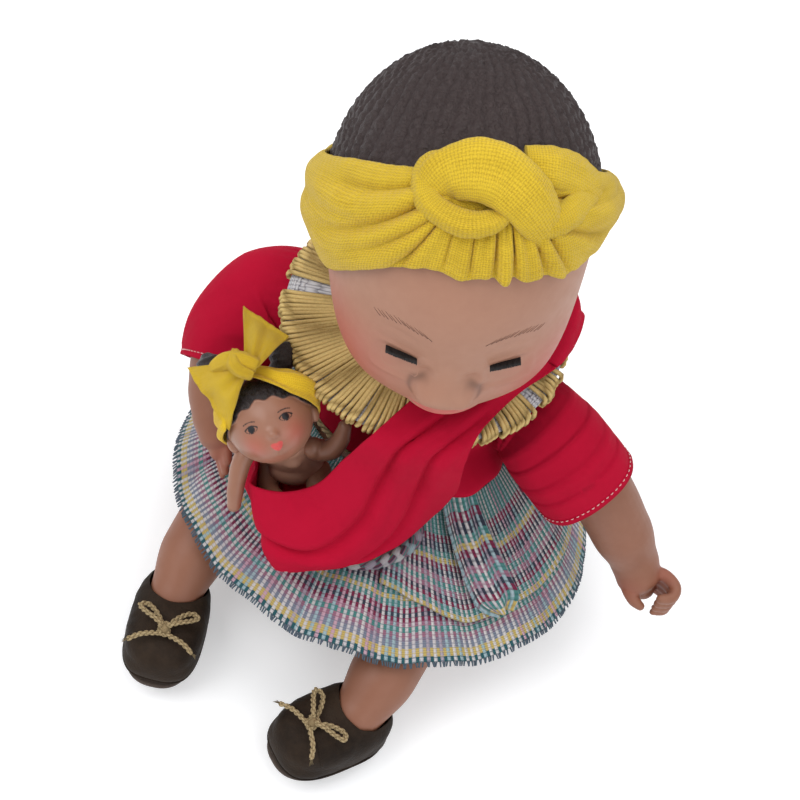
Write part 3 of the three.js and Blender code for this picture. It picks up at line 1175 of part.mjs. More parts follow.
function makeBaby() {
  baby.applyMatrix4(babyPlace);
  const toBaby = babyPlace.clone().invert();
  const half = babyTorsoLength / 2;
  const torso = turned([
    [0, -half], [babyTorsoRadius * 0.62, -half * 0.96], [babyTorsoRadius * 0.9, -half * 0.75],
    [babyTorsoRadius * 0.94, -half * 0.4], [babyTorsoRadius * 0.86, 0], [babyTorsoRadius * 0.84, half * 0.4],
    [babyTorsoRadius * 0.8, half * 0.7], [babyTorsoRadius * 0.5, half * 0.92], [babyTorsoRadius * 0.4, half],
    [0, half],
  ], 10, 0.85);
  const tools = [rod(V(0, 0, half * 0.5), V(0, 0, half + overrun), pinRadius * 1.5 + gap, 8)];
  const slab = babyTorsoRadius * 2;
  for (const side of [-1, 1]) {
    for (const [joint, below, above] of [[babyShoulder, -babyArmRadius * 1.25, babyArmRadius * 1.46],
      [babyHip, -babyLegRadius * 1.92, babyLegRadius * 1.35]]) {
      tools.push(rod(V(side * joint.x * 0.4, joint.y, joint.z), V(side * slab, joint.y, joint.z),
        pinRadius + gap, 8));
      tools.push(box(
        V(Math.min(side * (joint.x - gap), side * slab), -slab, joint.z + below),
        V(Math.max(side * (joint.x - gap), side * slab), slab, joint.z + above)));
    }
  }
  add(baby, 'baby_torso', cut(torso, ...tools), 'babySkin');

  const tip = toBaby.clone().multiply(babyHeadPlace);
  const skull = blob((d) => {
    const cheek = Math.exp(-V(0, -0.8, -0.6).distanceToSquared(d) / 0.35) * babyHeadRadius * 0.08;
    const nose = Math.exp(-V(0, -0.97, -0.22).distanceToSquared(d) / 0.02) * babyHeadRadius * 0.09;
    return V(d.x * 0.98, d.y * 1.02, d.z * 0.97).multiplyScalar(babyHeadRadius)
      .addScaledVector(d, cheek + nose);
  }, 12, 8);
  const r = babyHeadRadius;
  const ears = [-1, 1].map((side) => ellipsoid(V(side * r * 0.951, r * 0.054, -r * 0.216),
    V(r * 0.119, r * 0.151, r * 0.205), 6, 4));
  const bun = (side, room) => ellipsoid(V(side * r * 0.838, r * 0.108, r * 0.595),
    V(r * 0.292 + room, r * 0.27 + room, r * 0.27 + room), 8, 5);
  const buns = [-1, 1].map((side) => bun(side, 0));
  const face = join(skull, ...ears, ...buns);
  face.applyMatrix4(tip);
  const neckPin = rod(V(0, 0, half * 0.5 + gap), V(0, 0, half + overrun), pinRadius * 1.5, 12);
  const neck = rod(V(0, 0, half + gap), V(0, 0, half + overrun), pinRadius * 2.5, 12);
  const under = box(V(-slab, -slab, half * 0.4), V(slab, slab, half + gap));
  add(baby, 'baby_head', geometryOf(solid(face).subtract(solid(under)).add(solid(neckPin)).add(solid(neck))),
    'babySkin');

  const bandRows = [];
  const turns = 20;
  const wrapOut = (d, out) => V(d.x * (babyHeadRadius * 0.98 + out), d.y * (babyHeadRadius * 1.02 + out),
    d.z * (babyHeadRadius * 0.97 + out));
  for (let i = 0; i < turns; i++) {
    const turn = (2 * Math.PI * i) / turns;
    const lift = rad(24) + rad(38) * Math.cos(turn);
    bandRows.push([-1, -0.4, 0.4, 1].map((share) => {
      const angle = lift + rad(17) * share;
      const d = V(Math.cos(angle) * Math.sin(turn), -Math.cos(angle) * Math.cos(turn), Math.sin(angle));
      return wrapOut(d, wrapThick * 1.4 + wrapThick * 0.4 * Math.cos(3 * share));
    }));
  }
  const wrapSolid = solid(clothSolid(bandRows, wrapThick, true));
  const bunRoom = [-1, 1].map((side) => solid(bun(side, looseGap)));
  const wrap = geometryOf(bunRoom.reduce((a, b) => a.subtract(b), wrapSolid));
  add(baby, 'baby_wrap', wrap.applyMatrix4(tip), 'linen');

  const knotAt = V(-r * 0.27, -r * 0.486, r * 1.054);
  const tail = (shares) => limb(stationsFrom(shares.map((row) => row.map((v) => v * r))), 6, 3)
    .translate(...knotAt.toArray());
  const knotParts = [ellipsoid(knotAt, V(r * 0.27, r * 0.216, r * 0.216), 8, 5), ...wrapTailShares.map(tail)];
  const keepOut = blob((d) => wrapOut(d, wrapThick * 2.4), 14, 9);
  const knot = geometryOf(largest(solid(join(...knotParts)).subtract(solid(keepOut))));
  add(baby, 'baby_wrap_knot', knot.applyMatrix4(tip), 'linen');

  for (const [name, side] of [['left', 1], ['right', -1]]) {
    for (const [kind, joint, thick] of [['arm', babyShoulder, babyArmRadius],
      ['leg', babyHip, babyLegRadius]]) {
      const start = [joint.x * side * 0.8, joint.y, joint.z];
      const root = { at: V(...start), wide: thick * 0.9, high: thick * 0.9 };
      const knee = { at: V(side * (joint.x + thick * 0.5), joint.y, joint.z), wide: thick, high: thick };
      const rest = babyLimbShares[`${kind}_${name}`].map(([x, y, z, size]) => ({
        at: V(x, y, z).multiplyScalar(babyTorsoLength).add(babyMiddle).applyMatrix4(toBaby),
        wide: size * thick,
        high: size * thick,
      }));
      const inner = box(V(Math.min(0, side * joint.x), -babyTorsoRadius * 0.92, -slab * 2),
        V(Math.max(0, side * joint.x), slab, slab * 2));
      const shape = cut(limb([root, knee, ...rest], 8, 6), inner);
      const pin = rod(V(side * (joint.x * 0.4 + gap), joint.y, joint.z),
        V(side * (joint.x + thick / 2), joint.y, joint.z),
        pinRadius, 8);
      add(baby, `baby_${kind}_${name}`, join(shape, pin), 'babySkin');
    }
  }
}

makeTorso();
makeHead();
makeEyes();
makeHeadband();
makeCollar();
makeArms();
makeLegs();
makeBlouse();
makeSkirt();
makeSling();
makeBaby();

export default doll;
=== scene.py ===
"""Looks of a seated vinyl play doll that carries a baby doll in a cloth sling.

Lengths are in millimetres inside each class and become metres when a piece is settled.
The doll faces -Y, its left side is at +X, and the origin is under its seat.
"""

import bisect
import logging
import math
import random
from dataclasses import dataclass, field
from enum import Enum
from typing import Callable, Optional, Sequence

import bmesh
import bpy
from mathutils import Matrix, Vector, noise


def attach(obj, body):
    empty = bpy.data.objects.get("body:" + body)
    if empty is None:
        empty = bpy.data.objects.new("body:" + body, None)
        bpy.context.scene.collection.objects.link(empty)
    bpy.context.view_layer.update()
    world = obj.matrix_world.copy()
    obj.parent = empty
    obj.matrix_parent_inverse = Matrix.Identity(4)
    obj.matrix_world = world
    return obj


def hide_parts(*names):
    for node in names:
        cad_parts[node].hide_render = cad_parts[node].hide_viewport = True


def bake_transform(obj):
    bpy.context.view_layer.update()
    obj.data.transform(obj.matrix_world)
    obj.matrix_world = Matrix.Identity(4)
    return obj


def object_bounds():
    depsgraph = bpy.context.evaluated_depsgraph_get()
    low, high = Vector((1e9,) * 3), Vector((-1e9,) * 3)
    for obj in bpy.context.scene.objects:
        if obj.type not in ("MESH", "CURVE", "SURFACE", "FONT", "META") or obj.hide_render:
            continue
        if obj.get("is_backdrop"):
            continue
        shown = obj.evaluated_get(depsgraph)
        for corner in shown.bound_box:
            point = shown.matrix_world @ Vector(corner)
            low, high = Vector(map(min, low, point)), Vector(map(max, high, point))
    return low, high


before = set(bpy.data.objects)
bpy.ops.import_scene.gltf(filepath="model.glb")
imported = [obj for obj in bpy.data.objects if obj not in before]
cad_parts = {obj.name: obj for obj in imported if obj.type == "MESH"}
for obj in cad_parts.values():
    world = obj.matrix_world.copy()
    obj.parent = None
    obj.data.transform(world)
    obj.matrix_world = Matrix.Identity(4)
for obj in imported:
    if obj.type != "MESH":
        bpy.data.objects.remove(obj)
CAD_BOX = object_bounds()

MM = 0.001
TAU = 2 * math.pi
LOG = logging.getLogger("doll")
Color = tuple[float, float, float]
Place = Callable[[float, float], Vector]
Rows = Sequence[Sequence[float]]
Node = bpy.types.Node
Socket = bpy.types.NodeSocket
CLOTH_THICK = 0.9


def smooth(x: float, low: float, high: float) -> float:
    """Returns 0 below low, 1 above high and an eased value between."""
    t = min(max((x - low) / (high - low), 0.0), 1.0)
    return t * t * (3 - 2 * t)


def mix(a: float, b: float, t: float) -> float:
    """Returns the value a share t of the way from a to b."""
    return a + (b - a) * t


def hump(x: float, width: float) -> float:
    """Returns a bell that is 1 at zero and fades over width."""
    return math.exp(-((x / width) ** 2))


def rgb(red: int, green: int, blue: int) -> Color:
    """Returns a linear colour from eight-bit display values.

    Args:
        red: The red channel, from 0 to 255.
        green: The green one.
        blue: The blue one.

    Returns:
        The colour that the renderer works with.
    """
    def channel(value: int) -> float:
        """Returns one channel in linear light."""
        c = value / 255
        return c / 12.92 if c <= 0.04045 else ((c + 0.055) / 1.055) ** 2.4
    return channel(red), channel(green), channel(blue)


def rounded(value: float, power: float) -> float:
    """Returns a sine or cosine to a power with its sign kept, which squares a circle's corners out."""
    return math.copysign(abs(value) ** power, value)


def spline(near: Sequence[Vector], t: float) -> Vector:
    """Returns the smooth point at share t between the middle two of four neighbours.

    Args:
        near: Four neighbours.
        t: The share of the way from the second to the third.

    Returns:
        The point.
    """
    a, b, c, d = near
    return 0.5 * (2 * b + (c - a) * t + (2 * a - 5 * b + 4 * c - d) * t * t
                  + (3 * b - a - 3 * c + d) * t * t * t)


def curve_through(points: Sequence[Vector], steps: int) -> list[Vector]:
    """Returns a smooth line through the given points.

    Args:
        points: The places that the line passes.
        steps: How many samples to take between two neighbours.

    Returns:
        The samples, from the first place to the last.
    """
    last = len(points) - 1
    line = []
    for i in range(last):
        near = [points[min(max(i + k, 0), last)] for k in (-1, 0, 1, 2)]
        line += [spline(near, step / steps) for step in range(steps)]
    return line + [points[-1].copy()]


def add_object(name: str, data: bpy.types.ID) -> bpy.types.Object:
    """Puts a new object with the given data in the scene.

    Args:
        name: Its name.
        data: Its mesh, light or camera.

    Returns:
        The object.
    """
    made = bpy.data.objects.new(name, data)
    bpy.context.scene.collection.objects.link(made)
    return made


def place_in(values: Sequence[float], t: float) -> tuple[int, float]:
    """Returns which pair of neighbours share t of a row lies between, and its share of their gap.

    Args:
        values: The row.
        t: The share of the whole row, from 0 to 1.

    Returns:
        The number of the first neighbour, and the share of the way to the next.
    """
    place = min(max(t, 0.0), 1.0) * (len(values) - 1)
    i = min(int(place), len(values) - 2)
    return i, place - i


def eased_row(values: Sequence[float], t: float) -> float:
    """Returns the eased value at share t of an evenly spaced row of values."""
    i, f = place_in(values, t)
    return mix(values[i], values[i + 1], f * f * (3 - 2 * f))


def straight_row(values: Sequence[float], t: float) -> float:
    """Returns the straight value at share t of an evenly spaced row of values."""
    i, f = place_in(values, t)
    return mix(values[i], values[i + 1], f)


def row_at(rows: Sequence[Vector], turn: float) -> Vector:
    """Returns the row at an angle, between rows that start with theirs in rising order.

    Args:
        rows: Rows that start with their angle, in rising order.
        turn: The angle.

    Returns:
        The row at that angle.
    """
    i = min(max(bisect.bisect(rows, turn, key=lambda row: row.x), 1), len(rows) - 1)
    low, high = rows[i - 1], rows[i]
    return low.lerp(high, min(max((turn - low.x) / (high.x - low.x), 0.0), 1.0))


def bulges(d: Vector, rows: Rows) -> float:
    """Returns the height of round swellings together.

    Args:
        d: The direction from the middle of a head.
        rows: For each swelling its direction, its height and its spread.

    Returns:
        The height, as a share of the head's size.
    """
    height = 0.0
    for x, y, z, rise, spread in rows:
        away = (Vector((x, y, z)).normalized() - d).length_squared
        if away < 12 * spread * spread:
            height += rise * math.exp(-away / (2 * spread * spread))
    return height


def ring_noise(turn: float, radius: float, height: float) -> float:
    """Returns noise that closes round a ring of the given radius."""
    return noise.noise(Vector((radius * math.cos(turn), radius * math.sin(turn), height)))


class Shape:
    """A mesh under way, in millimetres, shaped with mesh operators."""

    def __init__(self) -> None:
        """Starts an empty mesh with one UV map."""
        self.bm = bmesh.new()
        self.bm.loops.layers.uv.new("UVMap")

    def lattice(self, columns: int, rows: int, place: Place, capped: bool = False) -> "Shape":
        """Adds a grid whose points go where place(u, v) says, joined where its edges meet.

        Args:
            columns: Cells along u.
            rows: Cells along v.
            place: Gives a point for u and v from 0 to 1.
            capped: Whether its open ends are closed.

        Returns:
            The shape itself, as the methods below do.
        """
        made = bmesh.ops.create_grid(self.bm, x_segments=columns, y_segments=rows, size=0.5, calc_uvs=True)
        for vert in made["verts"]:
            vert.co = place(vert.co.x + 0.5, vert.co.y + 0.5)
        bmesh.ops.remove_doubles(self.bm, verts=made["verts"], dist=1e-4)
        if capped:
            kept = {v for v in made["verts"] if v.is_valid}
            rim = [e for e in self.bm.edges if e.is_boundary and e.verts[0] in kept]
            bmesh.ops.holes_fill(self.bm, edges=rim, sides=0)
        return self

    def ball(self, place: Callable[[Vector], Vector], subdivisions: int = 4) -> "Shape":
        """Adds a closed skin.

        Args:
            place: Says where the point of a direction goes.
            subdivisions: How often the ball's faces are divided.
        """
        made = bmesh.ops.create_icosphere(self.bm, subdivisions=subdivisions, radius=1.0)
        for vert in made["verts"]:
            vert.co = place(vert.co.normalized())
        return self

    def egg(self, middle: Vector, radii: Sequence[float], subdivisions: int = 3) -> "Shape":
        """Adds an ellipsoid round a middle."""
        return self.ball(lambda d: middle + Vector([c * r for c, r in zip(d, radii)]), subdivisions)

    def tube(self, line: Sequence[Vector], size: Callable[[float, float], Sequence[float]] | float,
             sides: int = 10, up: Optional[Vector] = None) -> "Shape":
        """Adds a closed tube along a line.

        Args:
            line: The middle of the tube.
            size: Its radius, or a function of share and angle that gives its half width and half height.
            sides: Points round it.
            up: A direction that its height keeps to, or none for a tube that doesn't twist.
        """
        count = len(line) - 1
        frames = []
        lifted = up or (line[1] - line[0]).orthogonal()
        for i, at in enumerate(line):
            forward = (line[min(i + 1, count)] - line[max(i - 1, 0)]).normalized()
            base = up or lifted
            lifted = (base - forward * base.dot(forward)).normalized()
            frames.append((at, forward.cross(lifted).normalized(), lifted))

        def place(u: float, v: float) -> Vector:
            """Returns a point of the tube's skin."""
            at, side, top = frames[round(u * count)]
            angle = TAU * v
            wide, high = (size, size) if isinstance(size, (int, float)) else size(u, angle)
            return at + side * math.cos(angle) * wide + top * math.sin(angle) * high

        return self.lattice(count, sides, place, capped=True)

    def mapped(self, share: float, start: float = 0.0, since: int = 0) -> "Shape":
        """Scales the map along u, so that threads keep their pitch.

        Args:
            share: The scale.
            start: Where u then starts.
            since: The number of the first face that it is done for.
        """
        layer = self.bm.loops.layers.uv.active
        for face in list(self.bm.faces)[since:]:
            for loop in face.loops:
                loop[layer].uv.x = start + loop[layer].uv.x * share
        return self

    def move(self, matrix: Matrix) -> "Shape":
        """Places the whole mesh by a matrix."""
        bmesh.ops.transform(self.bm, matrix=matrix, verts=self.bm.verts)
        return self

    def swell(self, shift: Callable[[Vector], float]) -> "Shape":
        """Moves each point along its normal by shift(place).

        Args:
            shift: Gives the way outwards for a place.
        """
        self.bm.normal_update()
        moves = [(v, v.normal * shift(v.co)) for v in self.bm.verts]
        for vert, step in moves:
            vert.co += step
        return self

    def paint(self, name: str, value: Callable[[Vector], float]) -> "Shape":
        """Writes value(place) on each point under a name that materials read.

        Args:
            name: The name that materials read.
            value: Gives the value for a place.
        """
        layer = self.bm.verts.layers.float.get(name) or self.bm.verts.layers.float.new(name)
        for vert in self.bm.verts:
            vert[layer] = value(vert.co)
        return self

    def _through(self, *steps: tuple[str, dict[str, object]]) -> "Shape":
        """Runs modifiers, each a kind with its settings, and takes their result back.

        Args:
            steps: The kind and the settings of each modifier.
        """
        mesh = bpy.data.meshes.new("work")
        self.bm.to_mesh(mesh)
        made = add_object("work", mesh)
        for kind, settings in steps:
            step = made.modifiers.new(kind, kind)
            for key, value in settings.items():
                setattr(step, key, value)
        result = bpy.data.meshes.new_from_object(made.evaluated_get(bpy.context.evaluated_depsgraph_get()))
        self.bm.clear()
        self.bm.from_mesh(result)
        bpy.data.objects.remove(made)
        bpy.data.meshes.remove(mesh)
        bpy.data.meshes.remove(result)
        return self

    def fused(self, voxel: float, rounds: int = 4) -> "Shape":
        """Joins overlapping skins in one and softens it.

        Args:
            voxel: The size of the new faces.
            rounds: How often it is softened.
        """
        self._through(("REMESH", {"mode": "VOXEL", "voxel_size": voxel}),
                      ("SMOOTH", {"factor": 0.5, "iterations": rounds}))
        if not self.bm.loops.layers.uv:
            self.bm.loops.layers.uv.new("UVMap")
        return self

    def carved(self, cutter: "Shape") -> "Shape":
        """Cuts another closed shape, which is used up, out of this one.

        Args:
            cutter: The other shape.
        """
        mesh = bpy.data.meshes.new("cutter")
        cutter.bm.to_mesh(mesh)
        cutter.bm.free()
        tool = add_object("cutter", mesh)
        self._through(("BOOLEAN", {"operation": "DIFFERENCE", "solver": "EXACT", "object": tool}))
        bpy.data.objects.remove(tool)
        bpy.data.meshes.remove(mesh)
        return self

    def thickened(self, thick: float) -> "Shape":
        """Gives an open sheet its thickness, half to each side."""
        self.bm.normal_update()
        return self._through(("SOLIDIFY", {"thickness": thick, "offset": 0.0, "use_even_offset": False}))

    def linked(self, name: str, finish: "Finish") -> bpy.types.Object:
        """Turns the shape, which is used up, into an object in metres.

        Args:
            name: The object's name.
            finish: Its material.

        Returns:
            The object.
        """
        bmesh.ops.recalc_face_normals(self.bm, faces=self.bm.faces)
        bmesh.ops.scale(self.bm, vec=(MM, MM, MM), verts=self.bm.verts)
        for face in self.bm.faces:
            face.smooth = True
        mesh = bpy.data.meshes.new(name)
        self.bm.to_mesh(mesh)
        self.bm.free()
        mesh.materials.append(finish.material())
        return add_object(name, mesh)

    def settle(self, name: str, finish: "Finish", body: str, slot: str, replaces: Sequence[str] = (),
               blend: Optional[tuple] = None) -> bpy.types.Object:
        """Turns the shape into a finished piece in metres.

        Args:
            name: The piece's name.
            finish: Its material.
            body: The body that it rides on.
            slot: Not used.
            replaces: The frame nodes that it stands for.
            blend: A second body with the start and end of a bend; when it is given, the piece's place is
                baked into its mesh instead of riding on the body, and no bend is made.

        Returns:
            The finished object.
        """
        made = self.linked(name, finish)
        if replaces:
            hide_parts(*replaces)
        if blend:
            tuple(blend[1])
            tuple(blend[2])
            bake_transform(made)
        else:
            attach(made, body)
        LOG.info("%s: %d faces on %s", name, len(made.data.polygons), body)
        return made


class Nodes:
    """Short calls that lay out a node tree."""

    def __init__(self, tree: bpy.types.NodeTree) -> None:
        """Keeps the tree."""
        self.tree = tree

    def put(self, socket: Socket, value: object) -> None:
        """Links a socket to another, or sets its value.

        Args:
            socket: The input.
            value: A socket, or a plain value.
        """
        if isinstance(value, Socket):
            self.tree.links.new(value, socket)
        elif isinstance(value, tuple) and len(value) == 3 and socket.type == "RGBA":
            socket.default_value = (*value, 1.0)
        else:
            socket.default_value = value

    def node(self, kind: str, settings: Optional[dict] = None, **inputs: object) -> Node:
        """Adds a node.

        Args:
            kind: The node's type name.
            settings: Its own properties.
            inputs: Values or sockets, as feed takes them.

        Returns:
            The node.
        """
        made = self.tree.nodes.new(kind)
        for key, value in (settings or {}).items():
            setattr(made, key, value)
        return self.feed(made, **inputs)

    def feed(self, node: Node, **inputs: object) -> Node:
        """Sets a node's inputs.

        Args:
            node: The node.
            inputs: Values or sockets by input name, with underscores for spaces.

        Returns:
            The node.
        """
        for key, value in inputs.items():
            self.put(node.inputs[key.replace("_", " ")], value)
        return node

    def calc(self, operation: str, *values: object) -> Socket:
        """Adds a math node and returns its value.

        Args:
            operation: What it works out.
            values: What it works on.

        Returns:
            Its value.
        """
        made = self.tree.nodes.new("ShaderNodeMath")
        made.operation = operation
        for socket, value in zip(made.inputs, values):
            self.put(socket, value)
        return made.outputs[0]

    def plus(self, first: object, second: object) -> Socket:
        """Adds two values."""
        return self.calc("ADD", first, second)

    def minus(self, first: object, second: object) -> Socket:
        """Takes the second value from the first."""
        return self.calc("SUBTRACT", first, second)

    def times(self, first: object, second: object) -> Socket:
        """Multiplies two values."""
        return self.calc("MULTIPLY", first, second)

    def clear(self, value: object) -> Socket:
        """Holds a value between 0 and 1."""
        return self.node("ShaderNodeClamp", Value=value).outputs[0]

    def blend(self, share: object, first: object, second: object, mode: str = "MIX") -> Socket:
        """Mixes two colours.

        Args:
            share: How much of the second is taken.
            first: The first colour.
            second: The second colour.
            mode: How they mix.

        Returns:
            The mixed colour.
        """
        made = self.tree.nodes.new("ShaderNodeMix")
        made.data_type = "RGBA"
        made.blend_type = mode
        self.put(made.inputs[0], share)
        self.put(made.inputs[6], first)
        self.put(made.inputs[7], second)
        return made.outputs[2]

    def bands(self, value: object, stops: Sequence[tuple[float, Color]]) -> Socket:
        """Turns a value into bands of plain colour.

        Args:
            value: The value.
            stops: Where each band starts, with its colour.

        Returns:
            The colour.
        """
        made = self.node("ShaderNodeValToRGB", Fac=value)
        ramp = made.color_ramp
        ramp.interpolation = "CONSTANT"
        while len(ramp.elements) < len(stops):
            ramp.elements.new(1.0)
        for element, (at, color) in zip(ramp.elements, stops):
            element.position = at
            element.color = (*color, 1.0)
        return made.outputs[0]

    def parts(self, vector: object) -> tuple:
        """Splits a vector in its three values."""
        made = self.node("ShaderNodeSeparateXYZ", Vector=vector)
        return made.outputs[0], made.outputs[1], made.outputs[2]

    def painted(self, name: str) -> Socket:
        """Reads a value painted on the mesh."""
        return self.node("ShaderNodeAttribute", {"attribute_name": name}).outputs["Fac"]

    def noise(self, vector: object, scale: float, detail: float = 3.0, distortion: float = 0.0) -> Socket:
        """Adds a noise texture and returns its value."""
        return self.node("ShaderNodeTexNoise", Vector=vector, Scale=scale, Detail=detail,
                         Distortion=distortion).outputs[0]


class Where(Enum):
    """What a pattern follows."""

    OBJECT = "Object"
    SURFACE = "UV"


def group(name: str, inputs: dict[str, object], outputs: Sequence[str],
          build: Callable[[Nodes, Node, Node], None]) -> bpy.types.NodeTree:
    """Makes a shader node group once and returns it.

    Args:
        name: The group's name.
        inputs: Default values by input name; a tuple is a vector.
        outputs: Names of its float outputs.
        build: Lays out its nodes between the input node and the output node.

    Returns:
        The group's tree.
    """
    known = bpy.data.node_groups.get(name)
    if known:
        return known
    tree = bpy.data.node_groups.new(name, "ShaderNodeTree")
    for key, value in inputs.items():
        kind = "NodeSocketVector" if isinstance(value, tuple) else "NodeSocketFloat"
        tree.interface.new_socket(name=key, in_out="INPUT", socket_type=kind).default_value = value
    for key in outputs:
        tree.interface.new_socket(name=key, in_out="OUTPUT", socket_type="NodeSocketFloat")
    build(Nodes(tree), tree.nodes.new("NodeGroupInput"), tree.nodes.new("NodeGroupOutput"))
    return tree


def weave_group() -> bpy.types.NodeTree:
    """Returns the plain weave, which gives the height of its threads."""
    def build(n: Nodes, start: Node, end: Node) -> None:
        """Crosses two sets of threads."""
        x, y, _ = n.parts(start.outputs["Threads"])
        wavering = n.noise(start.outputs["Threads"], 0.35, 2.0)
        shift = n.times(n.minus(wavering, 0.5), 0.5)
        x = n.plus(x, shift)
        y = n.plus(y, shift)
        over = n.calc("MODULO", n.plus(n.calc("FLOOR", x), n.calc("FLOOR", y)), 2.0)
        across = n.calc("ABSOLUTE", n.calc("SINE", n.times(x, math.pi)))
        along = n.calc("ABSOLUTE", n.calc("SINE", n.times(y, math.pi)))
        first = n.times(across, n.calc("MULTIPLY_ADD", over, 0.5, 0.5))
        second = n.times(along, n.calc("MULTIPLY_ADD", over, -0.5, 1.0))
        n.feed(end, Height=n.calc("MAXIMUM", first, second))
    return group("plain_weave", {"Threads": (0.0, 0.0, 0.0)}, ("Height",), build)


def mottle_group() -> bpy.types.NodeTree:
    """Returns soft patches with finer ones in them, for tone and gloss that aren't even."""
    def build(n: Nodes, start: Node, end: Node) -> None:
        """Adds fine noise to wide noise."""
        wide = n.node("ShaderNodeTexNoise", Vector=start.outputs["Vector"], Scale=start.outputs["Scale"],
                      Detail=3.0)
        fine_scale = n.times(start.outputs["Scale"], 7.0)
        fine = n.node("ShaderNodeTexNoise", Vector=start.outputs["Vector"], Scale=fine_scale, Detail=4.0)
        both = n.plus(n.times(wide.outputs[0], 0.65), n.times(fine.outputs[0], 0.35))
        n.feed(end, Patches=both, Fine=fine.outputs[0])
    return group("mottle", {"Vector": (0.0, 0.0, 0.0), "Scale": 40.0}, ("Patches", "Fine"), build)


@dataclass(frozen=True)
class Finish:
    """A surface finish; each kind adds its own colours and pattern."""

    name: str
    rough: float = 0.6

    def material(self) -> bpy.types.Material:
        """Returns the material, made on first use."""
        known = bpy.data.materials.get(self.name)
        if known:
            return known
        made = bpy.data.materials.new(self.name)
        made.use_nodes = True
        made.node_tree.nodes.clear()
        n = Nodes(made.node_tree)
        shader = n.node("ShaderNodeBsdfPrincipled", Roughness=self.rough)
        n.node("ShaderNodeOutputMaterial", Surface=shader.outputs[0])
        self.lay(n, shader)
        return made

    def lay(self, n: Nodes, shader: Node) -> None:
        """Lays out the finish on the shader; each kind has its own way."""
        raise NotImplementedError(self.name)

    def relief(self, n: Nodes, shader: Node, height: object, depth: float) -> None:
        """Gives the shader a bump.

        Args:
            n: Lays out the nodes.
            shader: The shader that they feed.
            height: The height, from 0 to about 1.
            depth: What a height of 1 means, in millimetres.
        """
        bump = n.node("ShaderNodeBump", Strength=1.0, Distance=depth * MM, Height=height)
        n.feed(shader, Normal=bump.outputs[0])

    def place(self, n: Nodes, where: Where, scale: Sequence[float] = (1.0, 1.0, 1.0)) -> Socket:
        """Places coordinates for a pattern.

        Args:
            n: Lays out the nodes.
            where: What the pattern follows.
            scale: How often it repeats along each axis.

        Returns:
            The scaled coordinates.
        """
        base = n.node("ShaderNodeTexCoord").outputs[where.value]
        made = n.node("ShaderNodeVectorMath", {"operation": "MULTIPLY"})
        n.put(made.inputs[0], base)
        n.put(made.inputs[1], tuple(scale))
        return made.outputs[0]

    def mottled(self, n: Nodes, vector: object, scale: float) -> Node:
        """Places the group of soft patches."""
        return n.node("ShaderNodeGroup", {"node_tree": mottle_group()}, Vector=vector, Scale=scale)


@dataclass(frozen=True)
class Vinyl(Finish):
    """Soft matte vinyl with sprayed blush, lips and hair where they are painted."""

    color: Color = (0.4, 0.25, 0.18)
    shade: Color = (0.3, 0.17, 0.11)
    blush: Color = (0.55, 0.16, 0.12)
    lips: Color = (0.42, 0.12, 0.1)
    hair: Color = (0.04, 0.026, 0.026)
    ink_and_shade: Color = (0.03, 0.018, 0.014)

    def lay(self, n: Nodes, shader: Node) -> None:
        """Mixes the sprayed colours, the ink and the painted shade over the skin tone, with fine grain and
        hair strokes.

        Args:
            n: Lays out the nodes.
            shader: The shader that they feed.
        """
        at = self.place(n, Where.OBJECT)
        patches = self.mottled(n, at, 35.0)
        skin = n.blend(n.times(patches.outputs[0], 0.8), self.color, self.shade)
        # The darkest layer is real ink on the baby's face and painted shade at the doll's nostrils and nose
        # wings.
        for name, color in (("blush", self.blush), ("lips", self.lips), ("ink_and_shade", self.ink_and_shade)):
            skin = n.blend(n.painted(name), skin, color)
        strands = n.noise(at, 900.0, 5.0, 1.2)
        hair_color = n.blend(strands, self.hair, tuple(c * 0.45 for c in self.hair))
        is_hair = n.painted("hair")
        rough = n.calc("MULTIPLY_ADD", patches.outputs[1], 0.16, self.rough - 0.08)
        n.feed(shader, Base_Color=n.blend(is_hair, skin, hair_color), Roughness=rough, Specular_IOR_Level=0.4)
        grain = n.times(patches.outputs[1], 0.12)
        self.relief(n, shader, n.plus(grain, n.times(n.times(strands, is_hair), 1.6)), 0.5)


@dataclass(frozen=True)
class Cloth(Finish):
    """A plain woven cloth in one colour, with threads that vary a little."""

    color: Color = (0.5, 0.4, 0.1)
    shade: Color = (0.3, 0.2, 0.05)
    threads: tuple[float, float] = (200.0, 60.0)
    depth: float = 0.18
    sheen: float = 0.15
    contrast: float = 0.5

    def lay(self, n: Nodes, shader: Node) -> None:
        """Weaves the threads in the colour and the relief, with painted shade between the threads.

        Args:
            n: Lays out the nodes.
            shader: The shader that they feed.
        """
        threads = self.place(n, Where.SURFACE, (*self.threads, 1.0))
        weave = n.node("ShaderNodeGroup", {"node_tree": weave_group()}, Threads=threads).outputs[0]
        patches = self.mottled(n, self.place(n, Where.OBJECT), 60.0)
        stretched = n.node("ShaderNodeMapping", Vector=threads, Scale=(0.06, 0.9, 1.0)).outputs[0]
        slubs = n.noise(stretched, 1.0, 2.0)
        # Painted shade: the cloth is darkened between the threads, where the weave is low; patches and slubs
        # vary the tone.
        share = n.times(n.minus(1.0, weave), self.contrast)
        share = n.plus(share, n.times(n.minus(patches.outputs[0], 0.5), 0.7))
        share = n.plus(share, n.times(n.minus(slubs, 0.5), self.contrast))
        n.feed(shader, Base_Color=n.blend(n.clear(share), self.color, self.shade), Specular_IOR_Level=0.1,
               Sheen_Weight=self.sheen, Sheen_Roughness=0.5)
        self.relief(n, shader, n.plus(weave, n.times(slubs, 0.4)), self.depth)


